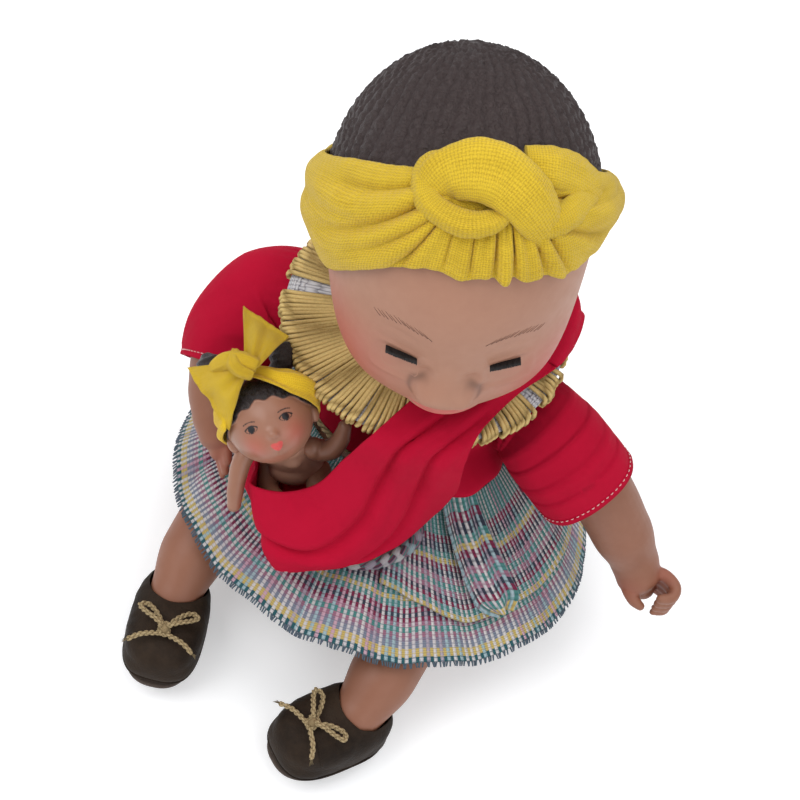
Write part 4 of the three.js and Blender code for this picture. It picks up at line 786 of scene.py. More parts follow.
@dataclass(frozen=True)
class Striped(Finish):
    """A handloom cloth: light threads down it and coloured stripes across it."""

    stripes: tuple[tuple[float, Color], ...] = ()
    length: float = 80.0
    threads: float = 150.0
    rows: float = 60.0
    thread_share: float = 0.54

    def lay(self, n: Nodes, shader: Node) -> None:
        """Lays light threads over stripes that are measured from the hem in millimetres, with painted shade
        between threads and rows.

        Args:
            n: Lays out the nodes.
            shader: The shader that they feed.
        """
        u, v, _ = n.parts(self.place(n, Where.SURFACE))
        wander = n.noise(self.place(n, Where.SURFACE, (18.0, 2.0, 1.0)), 1.0, 2.0)
        from_hem = n.plus(n.minus(1.0, v), n.times(n.minus(wander, 0.5), 0.03))
        stops = [(min(at / self.length, 1.0), color) for at, color in self.stripes]
        weft = n.bands(from_hem, stops)
        across = n.times(u, self.threads)
        down = n.times(v, self.rows)
        cell = n.calc("FLOOR", across)
        chance = n.node("ShaderNodeTexWhiteNoise", {"noise_dimensions": "1D"}, W=cell).outputs[0]
        light = n.bands(chance, [
            (0.0, rgb(206, 202, 202)), (0.4, rgb(196, 160, 174)), (0.54, rgb(158, 182, 188)),
            (0.68, rgb(200, 196, 198)), (0.88, rgb(170, 160, 172))])
        part = n.calc("FRACT", across)
        is_thread = n.calc("LESS_THAN", part, self.thread_share)
        row = n.calc("FRACT", n.plus(n.times(down, 0.5), n.times(chance, 0.35)))
        under = n.calc("LESS_THAN", row, 0.3)
        shown = n.times(is_thread, n.minus(1.0, n.times(under, 0.5)))
        ridge = n.calc("SINE", n.times(n.calc("DIVIDE", part, self.thread_share), math.pi))
        ridge = n.times(n.calc("MAXIMUM", ridge, 0.0), shown)
        rows = n.calc("ABSOLUTE", n.calc("SINE", n.times(down, math.pi)))
        height = n.plus(ridge, n.times(rows, 0.45))
        color = n.blend(shown, weft, light)
        # Painted shade: darker between the threads and the rows, where the relief is low.
        thread_gap_shade = n.times(n.minus(1.0, n.calc("MINIMUM", height, 1.0)), 0.5)
        color = n.blend(thread_gap_shade, color, n.blend(1.0, color, (0.2, 0.21, 0.25), "MULTIPLY"))
        n.feed(shader, Base_Color=color, Sheen_Weight=0.1, Specular_IOR_Level=0.12)
        self.relief(n, shader, height, 0.5)


@dataclass(frozen=True)
class Twine(Finish):
    """Twisted plant fibre."""

    color: Color = (0.58, 0.45, 0.24)
    shade: Color = (0.3, 0.21, 0.09)
    turns: tuple[float, float] = (60.0, 3.0)

    def lay(self, n: Nodes, shader: Node) -> None:
        """Runs fibres at a slant round the strand, with painted highlights on the plies and painted shade
        between them.

        Args:
            n: Lays out the nodes.
            shader: The shader that they feed.
        """
        u, v, _ = n.parts(self.place(n, Where.SURFACE))
        slant = n.plus(n.times(u, self.turns[0]), n.times(v, self.turns[1]))
        plies = n.calc("ABSOLUTE", n.calc("SINE", n.times(slant, math.pi)))
        fibres = n.noise(self.place(n, Where.OBJECT), 1800.0, 4.0)
        # Painted highlight and shade: lighter on the crest of each ply and darker in the grooves between
        # them; fibres and patches vary the tone.
        light = n.times(n.plus(n.times(plies, 0.7), n.times(fibres, 0.6)), 0.8)
        patches = self.mottled(n, self.place(n, Where.OBJECT), 90.0)
        share = n.plus(light, n.times(n.minus(patches.outputs[0], 0.5), 0.8))
        n.feed(shader, Base_Color=n.blend(n.clear(share), self.shade, self.color), Specular_IOR_Level=0.25)
        self.relief(n, shader, n.plus(plies, n.times(fibres, 0.4)), 0.25)


@dataclass(frozen=True)
class Leather(Finish):
    """Soft brown leather, paler in patches, towards the top and at the toe."""

    color: Color = (0.045, 0.03, 0.022)
    pale_tone: Color = (0.12, 0.09, 0.065)

    def lay(self, n: Nodes, shader: Node) -> None:
        """Breaks the colour up in patches over a pebbled grain.

        Args:
            n: Lays out the nodes.
            shader: The shader that they feed.
        """
        at = self.place(n, Where.OBJECT)
        patches = self.mottled(n, at, 45.0)
        share = n.times(n.minus(patches.outputs[0], 0.42), 2.2)
        # Paler towards the top of the shoe and at the toe, where that layer is painted, and in random
        # patches.
        share = n.clear(n.plus(share, n.times(n.painted("paler_top_and_toe"), 0.35)))
        rough = n.calc("MULTIPLY_ADD", patches.outputs[1], 0.25, self.rough - 0.12)
        n.feed(shader, Base_Color=n.blend(share, self.color, self.pale_tone), Roughness=rough,
               Specular_IOR_Level=0.1)
        grain = n.node("ShaderNodeTexVoronoi", Vector=at, Scale=900.0)
        self.relief(n, shader, n.plus(grain.outputs["Distance"], patches.outputs[1]), 0.12)


@dataclass(frozen=True)
class Hard(Finish):
    """Moulded plastic, steel or rubber with a faint texture."""

    color: Color = (0.6, 0.6, 0.58)
    shade: Color = (0.45, 0.45, 0.43)
    metal: float = 0.0
    depth: float = 0.05

    def lay(self, n: Nodes, shader: Node) -> None:
        """Varies the colour and the gloss slightly.

        Args:
            n: Lays out the nodes.
            shader: The shader that they feed.
        """
        patches = self.mottled(n, self.place(n, Where.OBJECT), 120.0)
        rough = n.calc("MULTIPLY_ADD", patches.outputs[1], 0.2, self.rough - 0.1)
        n.feed(shader, Base_Color=n.blend(patches.outputs[0], self.color, self.shade), Roughness=rough,
               Metallic=self.metal)
        self.relief(n, shader, patches.outputs[1], self.depth)


@dataclass(frozen=True)
class Paper(Finish):
    """White studio paper that stays white to the camera and keeps a faint shadow."""

    color: Color = (0.86, 0.86, 0.86)
    glow: float = 0.3

    def lay(self, n: Nodes, shader: Node) -> None:
        """Adds a little light of its own where the camera or a reflection sees it.

        Args:
            n: Lays out the nodes.
            shader: The shader that they feed.
        """
        path = n.node("ShaderNodeLightPath")
        seen = n.calc("MAXIMUM", path.outputs["Is Camera Ray"], path.outputs["Is Glossy Ray"])
        seen = n.calc("MAXIMUM", seen, path.outputs["Is Transmission Ray"])
        n.feed(shader, Base_Color=self.color, Specular_IOR_Level=0.0, Emission_Color=(1.0, 1.0, 1.0),
               Emission_Strength=n.times(seen, self.glow))


@dataclass(frozen=True)
class EyeBall(Finish):
    """A glossy eye with a brown iris and a lid in the skin's colour."""

    lid: Color = (0.4, 0.25, 0.18)

    def lay(self, n: Nodes, shader: Node) -> None:
        """Uses painted rings for pupil, iris, white and lid.

        Args:
            n: Lays out the nodes.
            shader: The shader that they feed.
        """
        fibres = n.noise(self.place(n, Where.OBJECT), 1400.0, 4.0)
        iris = n.blend(fibres, rgb(52, 28, 16), rgb(24, 12, 8))
        color = n.blend(n.painted("iris"), rgb(226, 219, 210), iris)
        color = n.blend(n.painted("pupil"), color, rgb(8, 6, 6))
        color = n.blend(n.painted("lid"), color, self.lid)
        n.feed(shader, Base_Color=color, Roughness=n.calc("MULTIPLY_ADD", n.painted("lid"), 0.4, self.rough))
        self.relief(n, shader, fibres, 0.03)


SKIN_TONE = rgb(173, 128, 104)
# The darkest layer of the doll's skin is painted shade in the nostrils and round the nose's wings.
SKIN = Vinyl("doll_vinyl", rough=0.52, color=SKIN_TONE, shade=rgb(152, 106, 86), blush=rgb(176, 84, 74),
             lips=rgb(190, 98, 88), hair=rgb(60, 45, 43), ink_and_shade=rgb(60, 38, 30))
LIMB_SKIN = Vinyl("limb_vinyl", rough=0.5, color=rgb(144, 96, 73), shade=rgb(124, 78, 58),
                  blush=rgb(156, 80, 64))
BABY_SKIN = Vinyl("baby_vinyl", rough=0.36, color=rgb(158, 112, 90), shade=rgb(136, 94, 74),
                  blush=rgb(182, 84, 70),
                  lips=rgb(200, 78, 74), hair=rgb(50, 42, 42), ink_and_shade=rgb(26, 24, 28))
# A paler copy of the baby's vinyl for its torso: painted light that makes up for the sling's shade on the
# chest.
BABY_BODY_PAINTED_LIGHT = Vinyl("baby_body_vinyl_painted_light", rough=0.4, color=rgb(186, 142, 120), shade=rgb(166, 120, 98),
                  blush=rgb(190, 120, 104))
LINEN = Cloth("mustard_linen", rough=0.9, color=rgb(213, 180, 50), shade=rgb(158, 120, 20),
              threads=(330.0, 44.0),
              depth=0.28, contrast=0.55)
WRAP_LINEN = Cloth("baby_linen", rough=0.9, color=rgb(224, 186, 44), shade=rgb(172, 128, 16),
                   threads=(190.0, 26.0),
                   depth=0.16, contrast=0.35)
RED = Cloth("red_cotton", rough=0.85, color=rgb(182, 14, 48), shade=rgb(140, 4, 32), threads=(900.0, 260.0),
            depth=0.06, contrast=0.18, sheen=0.0)
TWINE = Twine("straw_twine", rough=0.7, color=rgb(222, 194, 128), shade=rgb(112, 84, 36), turns=(900.0, 1.0))
LACE = Twine("lace_cord", rough=0.8, color=rgb(176, 156, 118), shade=rgb(112, 92, 62), turns=(34.0, 2.0))
LEATHER = Leather("brown_leather", rough=0.62, color=rgb(30, 22, 16), pale_tone=rgb(58, 46, 36))
SOLE = Hard("shoe_sole", rough=0.8, color=rgb(74, 60, 50), shade=rgb(56, 44, 38), depth=0.15)
PLASTIC = Hard("inner_plastic", rough=0.5, color=rgb(214, 210, 200), shade=rgb(196, 192, 182))
STEEL = Hard("plain_steel", rough=0.35, color=rgb(170, 172, 176), shade=rgb(140, 142, 146), metal=1.0)
BRISTLE = Hard("black_bristle", rough=0.5, color=rgb(22, 17, 16), shade=rgb(10, 8, 8))
BROW = Hard("brow_ink", rough=0.7, color=rgb(112, 78, 62), shade=rgb(84, 56, 44))
EYE = EyeBall("glass_eye", rough=0.12, lid=SKIN_TONE)
TEAL = rgb(84, 144, 138)
GREY_BLUE = rgb(136, 144, 160)
MAUVE = rgb(166, 116, 136)
MAROON = rgb(134, 52, 80)
NAVY = rgb(66, 70, 84)
OCHRE = rgb(212, 188, 112)
STRIPES = (
    (0.0, rgb(50, 100, 106)), (3.2, OCHRE), (7.6, GREY_BLUE), (11.6, rgb(140, 126, 146)), (13.6, MAUVE),
    (16.4, TEAL),
    (19.6, MAUVE), (22.0, MAROON), (24.6, NAVY), (27.0, MAROON), (30.0, TEAL), (33.5, OCHRE), (36.0, TEAL),
    (39.5, NAVY), (43.0, MAROON), (46.0, MAUVE), (49.0, TEAL), (53.0, NAVY), (57.0, MAROON),
    (61.0, GREY_BLUE),
    (66.0, NAVY), (72.0, TEAL),
)
OVER_STRIPES = (
    (0.0, OCHRE), (3.0, TEAL), (6.6, MAROON), (9.4, NAVY), (12.4, MAUVE), (15.6, TEAL), (19.0, MAUVE),
    (22.4, NAVY),
    (26.0, MAROON), (29.5, OCHRE), (32.5, TEAL), (36.0, NAVY), (41.0, MAROON), (45.0, TEAL),
)
SKIRT_CLOTH = Striped("striped_handloom", rough=0.92, stripes=STRIPES, length=92.0, threads=196.0, rows=76.0)
OVER_CLOTH = Striped("striped_overcloth", rough=0.92, stripes=OVER_STRIPES, length=60.0, threads=196.0,
                     rows=50.0)
TAIL_CLOTH = Striped("checked_tail", rough=0.92, stripes=OVER_STRIPES, length=52.0, threads=8.0, rows=30.0)
COLLAR_CLOTH = Cloth("collar_cloth", rough=0.9, color=rgb(206, 206, 210), shade=rgb(60, 56, 72),
                     threads=(160.0, 34.0),
                     depth=0.3, contrast=0.9)
THREAD = Hard("pale_thread", rough=0.8, color=rgb(232, 200, 196), shade=rgb(214, 176, 174))
FRINGE = Hard("hem_yarn", rough=0.9, color=rgb(40, 82, 88), shade=rgb(96, 92, 108), depth=0.2)
PAPER = Paper("floor_paper", rough=0.9)


class Side(Enum):
    """A side of the doll, with the sign of its X."""

    LEFT = 1
    RIGHT = -1

    @property
    def word(self) -> str:
        """The side's name as used in pieces and bodies."""
        return self.name.lower()


def placed(at: Sequence[float], z: float = 0.0, y: float = 0.0, x: float = 0.0) -> Matrix:
    """Returns a frame that is turned about X, then Y, then Z.

    Args:
        at: Its place.
        z: The turn about Z in degrees, and likewise y and x.
    """
    turn = Matrix.Rotation(math.radians(z), 4, "Z") @ Matrix.Rotation(math.radians(y), 4, "Y")
    return Matrix.Translation(Vector(at)) @ turn @ Matrix.Rotation(math.radians(x), 4, "X")


def frame_from(at: Sequence[float], up: Vector, face: Vector) -> Matrix:
    """Returns a frame that looks a given way.

    Args:
        at: Its place.
        up: Its Z.
        face: What its -Y turns towards.
    """
    back = -(face - up * face.dot(up)).normalized()
    side = back.cross(up).normalized()
    made = Matrix((side, back, up)).transposed().to_4x4()
    made.translation = Vector(at)
    return made


def limb(shape: Shape, rows: Rows, sides: int = 18, steps: int = 8,
         up: Optional[Vector] = Vector((0, 0, 1))) -> Shape:
    """Adds an oval limb to a shape.

    Args:
        shape: The mesh that it is added to.
        rows: The places that it passes, with its half width and half height there.
        sides: Points round it.
        steps: Samples between two rows.
        up: A direction that its height keeps to.

    Returns:
        The shape.
    """
    line = curve_through([Vector(row[:3]) for row in rows], steps)
    wide = [row[3] for row in rows]
    high = [row[-1] for row in rows]
    return shape.tube(line, lambda u, angle: (eased_row(wide, u), eased_row(high, u)), sides, up)


def rope(shape: Shape, line: Sequence[Vector], radius: float, pitch: float, plies: int = 2,
         sides: int = 6) -> Shape:
    """Adds a rope of twisted plies along a line.

    Args:
        shape: The mesh that it is added to.
        line: The middle of the rope.
        radius: The rope's radius.
        pitch: The length of one twist.
        plies: How many strands it has.
        sides: Points round each strand.

    Returns:
        The shape.
    """
    gone = 0.0
    frames = []
    top = (line[1] - line[0]).orthogonal().normalized()
    for i, at in enumerate(line):
        forward = (line[min(i + 1, len(line) - 1)] - line[max(i - 1, 0)]).normalized()
        top = (top - forward * top.dot(forward)).normalized()
        if i:
            gone += (at - line[i - 1]).length
        frames.append((at, forward.cross(top), top, TAU * gone / pitch))
    for ply in range(plies):
        start = TAU * ply / plies
        strand = [at + (side * math.cos(twist + start) + up * math.sin(twist + start)) * radius * 0.5
                  for at, side, up, twist in frames]
        shape.tube(strand, radius * 0.58, sides)
    return shape


def resampled(line: Sequence[Vector], step: float) -> list[Vector]:
    """Returns the line with its points about a step apart, so that the last step ends with it.

    Args:
        line: The line.
        step: The length of a step.

    Returns:
        The new points.
    """
    total = sum((b - a).length for a, b in zip(line, line[1:]))
    count = max(int(total / step), 2)
    made = []
    i = 0
    gone = 0.0
    for k in range(count + 1):
        want = total * k / count
        while i < len(line) - 2 and gone + (line[i + 1] - line[i]).length < want:
            gone += (line[i + 1] - line[i]).length
            i += 1
        span = max((line[i + 1] - line[i]).length, 1e-9)
        made.append(line[i].lerp(line[i + 1], min((want - gone) / span, 1.0)))
    return made


def heading(turn: float, lift: float) -> Vector:
    """Returns a direction from an angle round the head and a latitude, both in degrees."""
    a, b = math.radians(turn), math.radians(lift)
    return Vector((math.cos(b) * math.sin(a), -math.cos(b) * math.cos(a), math.sin(b)))


@dataclass
class Head:
    """The doll's head: an egg of vinyl with a moulded face and curls, sleep eyes and a knotted band."""

    width: float = 52.0
    depth: float = 62.0
    height: float = 60.0
    hair_rise: float = 2.2
    row_count: int = 54
    stitch: float = 5.0
    eye: Vector = field(default_factory=lambda: Vector((20.0, -48.0, -13.0)))
    eye_radius: float = 10.5
    lid_half_width: float = 7.0
    lid_half_height: float = 6.2
    lid_drop: float = 0.8
    lash_reach: float = 5.6
    lash_clearance: float = 3.4
    lash_count: int = 84
    neck_radius: float = 18.0
    neck_y: float = -4.0
    neck_low: float = 160.3
    neck_high: float = 186.0
    matrix: Matrix = field(default_factory=lambda: placed((0, -5.5, 232.8), 25, -3.5, 7.7))
    swellings: tuple = (
        (0, -0.76, -0.6, 0.17, 0.45), (0.42, -0.76, -0.5, 0.07, 0.25), (-0.42, -0.76, -0.5, 0.07, 0.25),
        (-0.02, -0.94, -0.33, 0.12, 0.07), (0.1, -0.93, -0.33, 0.095, 0.048),
        (-0.13, -0.93, -0.34, 0.085, 0.044),
        (0, -0.86, -0.5, 0.075, 0.14), (0, -0.66, -0.75, 0.06, 0.16), (0, -0.96, -0.2, 0.02, 0.07),
        (0, -0.9, 0.35, 0.03, 0.35), (0.3, -0.93, -0.2, -0.045, 0.16), (-0.3, -0.93, -0.2, -0.045, 0.16),
        (0.055, -0.9, -0.43, -0.035, 0.028), (-0.095, -0.9, -0.43, -0.035, 0.028),
        (0.175, -0.92, -0.31, -0.035, 0.028), (-0.205, -0.92, -0.31, -0.022, 0.026),
        (0.1, -0.95, -0.225, -0.04, 0.035), (-0.14, -0.95, -0.225, -0.04, 0.035),
    )

    def hairline(self, d: Vector) -> float:
        """Returns how far a direction lies in the hair, from 0 to 1.

        Args:
            d: The direction from the head's middle.

        Returns:
            A share that fades over the hairline.
        """
        fall = 1.0 if d.y < 0 else 0.42
        front = smooth(d.z + fall * d.y, -0.02, 0.1)
        return max(front, smooth(d.y, 0.05, 0.2) * smooth(d.z, -0.55, -0.4))

    def curls(self, d: Vector) -> float:
        """Returns the height of the moulded curls at a direction.

        The rows of curls run out from a pole behind the crown, and wander a little.

        Args:
            d: The direction from the head's middle.

        Returns:
            The height, from about 0 to about 1.
        """
        pole = Vector((0.0, 0.8, 0.6))
        away = math.acos(min(max(d.dot(pole), -1.0), 1.0))
        flat = d - pole * d.dot(pole)
        turn = math.atan2(flat.x, flat.dot(Vector((0.0, -0.6, 0.8))))
        wave = noise.noise(d * 4.0) * 0.5
        row = turn / TAU * self.row_count + wave
        across = row - math.floor(row) - 0.5
        odd = 0.37 * (math.floor(row) % 3)
        along = away * 58 / self.stitch + odd - abs(across) * 1.1 + noise.noise(d * 9.0) * 0.4
        ridge = 1 - (2 * abs(across)) ** 2.2
        beads = 0.35 + 0.65 * abs(math.cos(math.pi * along)) ** 0.8
        rough = noise.noise(d * 40.0) * 0.28 + noise.noise(d * 90.0) * 0.14
        return ridge * beads + rough

    def lid_share(self, d: Vector, at: Vector) -> float:
        """Returns 1 at the edge of an eye opening and more outside it.

        Args:
            d: The direction from the head's middle.
            at: The place on the skin.

        Returns:
            The place's distance from the opening's middle, as a share of its size.
        """
        x = (abs(at.x) - self.eye.x) / self.lid_half_width
        z = (at.z - self.eye.z + self.lid_drop) / self.lid_half_height
        return (abs(x) ** 4 + abs(z) ** 4) ** 0.25 if d.y < 0 else 9.0

    def reach(self, d: Vector, out: float = 0.0, fine: bool = False) -> Vector:
        """Returns the point of the skin in a direction.

        Args:
            d: The direction from the head's middle.
            out: How far outside the skin the point lies.
            fine: Whether lips, lids and curls are included.

        Returns:
            The point in the head's frame.
        """
        power = mix(2.05, 2.5, smooth(-d.z, -0.1, 0.6))
        size = ((abs(d.x) / self.width) ** power + (abs(d.y) / self.depth) ** power
                + (abs(d.z) / self.height) ** power) ** (-1 / power)
        plain = size
        hair = self.hairline(d)
        size += self.width * bulges(d, self.swellings) + self.hair_rise * hair
        if fine:
            turn = math.degrees(math.atan2(d.x, -d.y))
            lift = math.degrees(math.asin(d.z))
            size += self.mouth(turn, lift)[0]
            if hair > 0.02:
                size += hair * (self.curls(d) * 1.7 - 1.0)
            elif abs(turn) < 40:
                size += 0.5 * hump(self.lid_share(d, d * plain) - 1.25, 0.22)
                off_middle = abs(turn) - 20
                size -= 0.35 * hump(lift - 3.0 + 0.02 * off_middle ** 2, 1.6) * hump(off_middle, 8)
        return d * (size + out)

    @staticmethod
    def mouth(turn: float, lift: float) -> tuple[float, float]:
        """Forms the lips.

        Args:
            turn: The angle round the head from the face, in degrees.
            lift: The latitude, in degrees.

        Returns:
            Their relief in millimetres and how red they are.
        """
        across = min(abs(turn) / 12.5, 1.0)
        bow = 0.9 * hump(turn, 2.2)
        seam = -30.6 + 1.6 * across ** 2
        upper = hump(lift - (seam + 2.0 - bow * 0.3), 1.7) * (1 - across ** 2)
        lower = hump(lift - (seam - 2.3), 2.1) * (1 - across ** 2.4)
        line = hump(lift - seam, 0.7) * (1 - across ** 3)
        philtrum = hump(turn, 1.7) * hump(lift + 26.0, 1.8)
        inside = 3.6 * (1 - across ** 2) - abs(lift - seam)
        return 2.0 * upper + 1.9 * lower - 1.7 * line - 0.6 * philtrum, smooth(inside, -0.4, 0.9)

    def skin(self) -> Shape:
        """Returns the head's skin with its paint and openings for the eyes."""
        shape = Shape()
        bmesh.ops.create_icosphere(shape.bm, subdivisions=7, radius=1.0)

        def in_face(edge: bmesh.types.BMEdge) -> bool:
            """Tells whether an edge lies where the face needs a finer mesh."""
            d = (edge.verts[0].co + edge.verts[1].co) / 2
            return d.y < -0.7 and -0.68 < d.z < 0.02 and abs(d.x) < 0.55

        bmesh.ops.subdivide_edges(shape.bm, edges=[e for e in shape.bm.edges if in_face(e)], cuts=1,
                                  use_grid_fill=True)
        tones = {name: shape.bm.verts.layers.float.new(name) for name in ("blush", "lips", "hair", "ink_and_shade")}
        for vert in shape.bm.verts:
            d = vert.co.normalized()
            vert.co = self.reach(d, fine=True)
            turn = math.degrees(math.atan2(d.x, -d.y))
            lift = math.degrees(math.asin(d.z))
            cheek = (Vector((0.56, -0.66, -0.42)).normalized() - Vector((abs(d.x), d.y, d.z))).length
            # Painted shade: the nostrils and the creases round the nose's wings are darkened in the darkest
            # layer.
            nostril = (Vector((0.075, -0.9, -0.43)).normalized() - Vector((abs(d.x + 0.02), d.y, d.z))).length
            wing = (Vector((0.115, -0.93, -0.33)).normalized() - Vector((abs(d.x + 0.02), d.y, d.z))).length
            rim = hump(wing - 0.078, 0.018) * smooth(abs(d.x + 0.02), 0.08, 0.15) * smooth(d.z, -0.42, -0.34)
            vert[tones["blush"]] = 0.75 * hump(cheek, 0.3)
            vert[tones["lips"]] = self.mouth(turn, lift)[1] if d.y < -0.4 else 0.0
            vert[tones["hair"]] = smooth(self.hairline(d), 0.25, 0.6)
            vert[tones["ink_and_shade"]] = 0.45 * hump(nostril, 0.026) + 0.5 * rim
        for side in Side:
            middle = Vector((self.eye.x * side.value, self.eye.y, self.eye.z))
            shape.carved(Shape().egg(middle, [self.eye_radius + 0.45] * 3, 5))
            shape.carved(self.eye_cutter(middle))
        return shape.move(self.matrix)

    def eye_cutter(self, middle: Vector) -> Shape:
        """Returns the rounded bar that opens the skin before an eye.

        Args:
            middle: The middle of the eye.

        Returns:
            The bar, to be cut out.
        """
        def place(u: float, v: float) -> Vector:
            """Returns a point of the bar, which flares outwards."""
            x = rounded(math.cos(TAU * v), 0.5) * self.lid_half_width
            z = rounded(math.sin(TAU * v), 0.5) * self.lid_half_height
            flare = 1 + 0.1 * smooth(u, 0.2, 0.5)
            return Vector((middle.x + x * flare, middle.y - 40 * u, middle.z - self.lid_drop + z * flare))
        return Shape().lattice(8, 48, place, capped=True)

    def build(self) -> None:
        """Builds the skin, neck, eyes, lashes, brows and band."""
        self.skin().settle("head_skin", SKIN, "head", "skin", ["head_shell"])
        inward = self.matrix.inverted()
        low, high = (inward @ Vector((0, self.neck_y, z)) for z in (self.neck_low, self.neck_high))
        neck = Shape().tube([low.lerp(high, t / 10) for t in range(11)], lambda u, angle: [
            self.neck_radius + 0.9 * hump(u, 0.06) - 0.6 * hump(u - 0.2, 0.1)] * 2, 48)
        neck.move(self.matrix).settle("head_neck", SKIN, "head", "skin")
        self.eyes()
        self.brows()
        Headband(self).build()

    def eyes(self) -> None:
        """Builds both eyes with painted iris and lid, and their lashes."""
        for side in Side:
            middle = Vector((self.eye.x * side.value, self.eye.y, self.eye.z))
            ball = Shape().egg(middle, [self.eye_radius] * 3, 6)
            look = Vector((0.0, -0.985, -0.17)).normalized()

            def ring(low: float, high: float) -> Callable[[Vector], float]:
                """Returns a disc round the look that fades from low to high degrees."""
                return lambda at: smooth((at - middle).normalized().dot(look), math.cos(math.radians(low)),
                                         math.cos(math.radians(high)))

            ball.paint("iris", ring(29.5, 28))
            ball.paint("pupil", ring(13, 12))
            ball.paint("lid", lambda at: smooth(
                math.degrees(math.asin((at - middle).normalized().z)), 15, 16.5))
            ball.move(self.matrix).settle(f"eye_ball_{side.word}", EYE, "eyes", "eye", [f"eye_{side.word}"])
            self.lashes(middle).move(self.matrix).settle(
                f"eye_lashes_{side.word}", BRISTLE, "eyes", "lash", [f"lashes_{side.word}"])

    def lashes(self, middle: Vector) -> Shape:
        """Returns a dense fan of tapered bristles on the lid's edge.

        Args:
            middle: The middle of the eye.

        Returns:
            The lashes in the head's frame.
        """
        rng = random.Random(7)
        fan = Shape()
        for i in range(self.lash_count):
            share = i / (self.lash_count - 1) * 2 - 1
            across = share * self.lash_reach + rng.uniform(-0.08, 0.08)
            bow = math.sqrt(self.eye_radius ** 2 - across ** 2)
            lift = math.radians(18.5 + rng.uniform(-0.4, 0.4))
            way = Vector((0.0, -math.cos(lift), math.sin(lift)))
            root = middle + Vector((across, 0.0, 0.0))
            tip = bow
            while tip < 24 and self.clearance(root + way * tip) < self.lash_clearance:
                tip += 0.2
            line = [root + way * mix(bow + 0.15, tip + rng.uniform(-0.25, 0.15), k / 4)
                    + Vector((0.1 * share * k, 0.0, -0.12 * k * k / 4)) for k in range(5)]
            fan.tube(line, lambda u, angle: [mix(0.3, 0.12, u ** 2)] * 2, 5)
        return fan

    def clearance(self, at: Vector) -> float:
        """Returns how far outside the skin a point lies, along its own direction."""
        return at.length - self.reach(at.normalized()).length

    def brows(self) -> None:
        """Builds each eyebrow as a row of short fine strokes on the skin."""
        rng = random.Random(5)
        strokes = Shape()
        for side in Side:
            for i in range(13):
                t = i / 12
                turn = 9 + 20 * t
                lift = 6.2 + 2.4 * math.sin(math.pi * t) - 1.6 * t + rng.uniform(-0.3, 0.3)
                line = []
                for k in range(5):
                    a = (turn + 3.6 * k / 4) * side.value
                    b = lift + (2.6 - 1.2 * t) * k / 4
                    line.append(self.reach(heading(a, b), 0.04, fine=True))
                strokes.tube(line, lambda u, angle: [0.13 * (1 - 0.6 * u)] * 2, 5)
        strokes.move(self.matrix).settle("brow_strokes", BROW, "head", "lash")


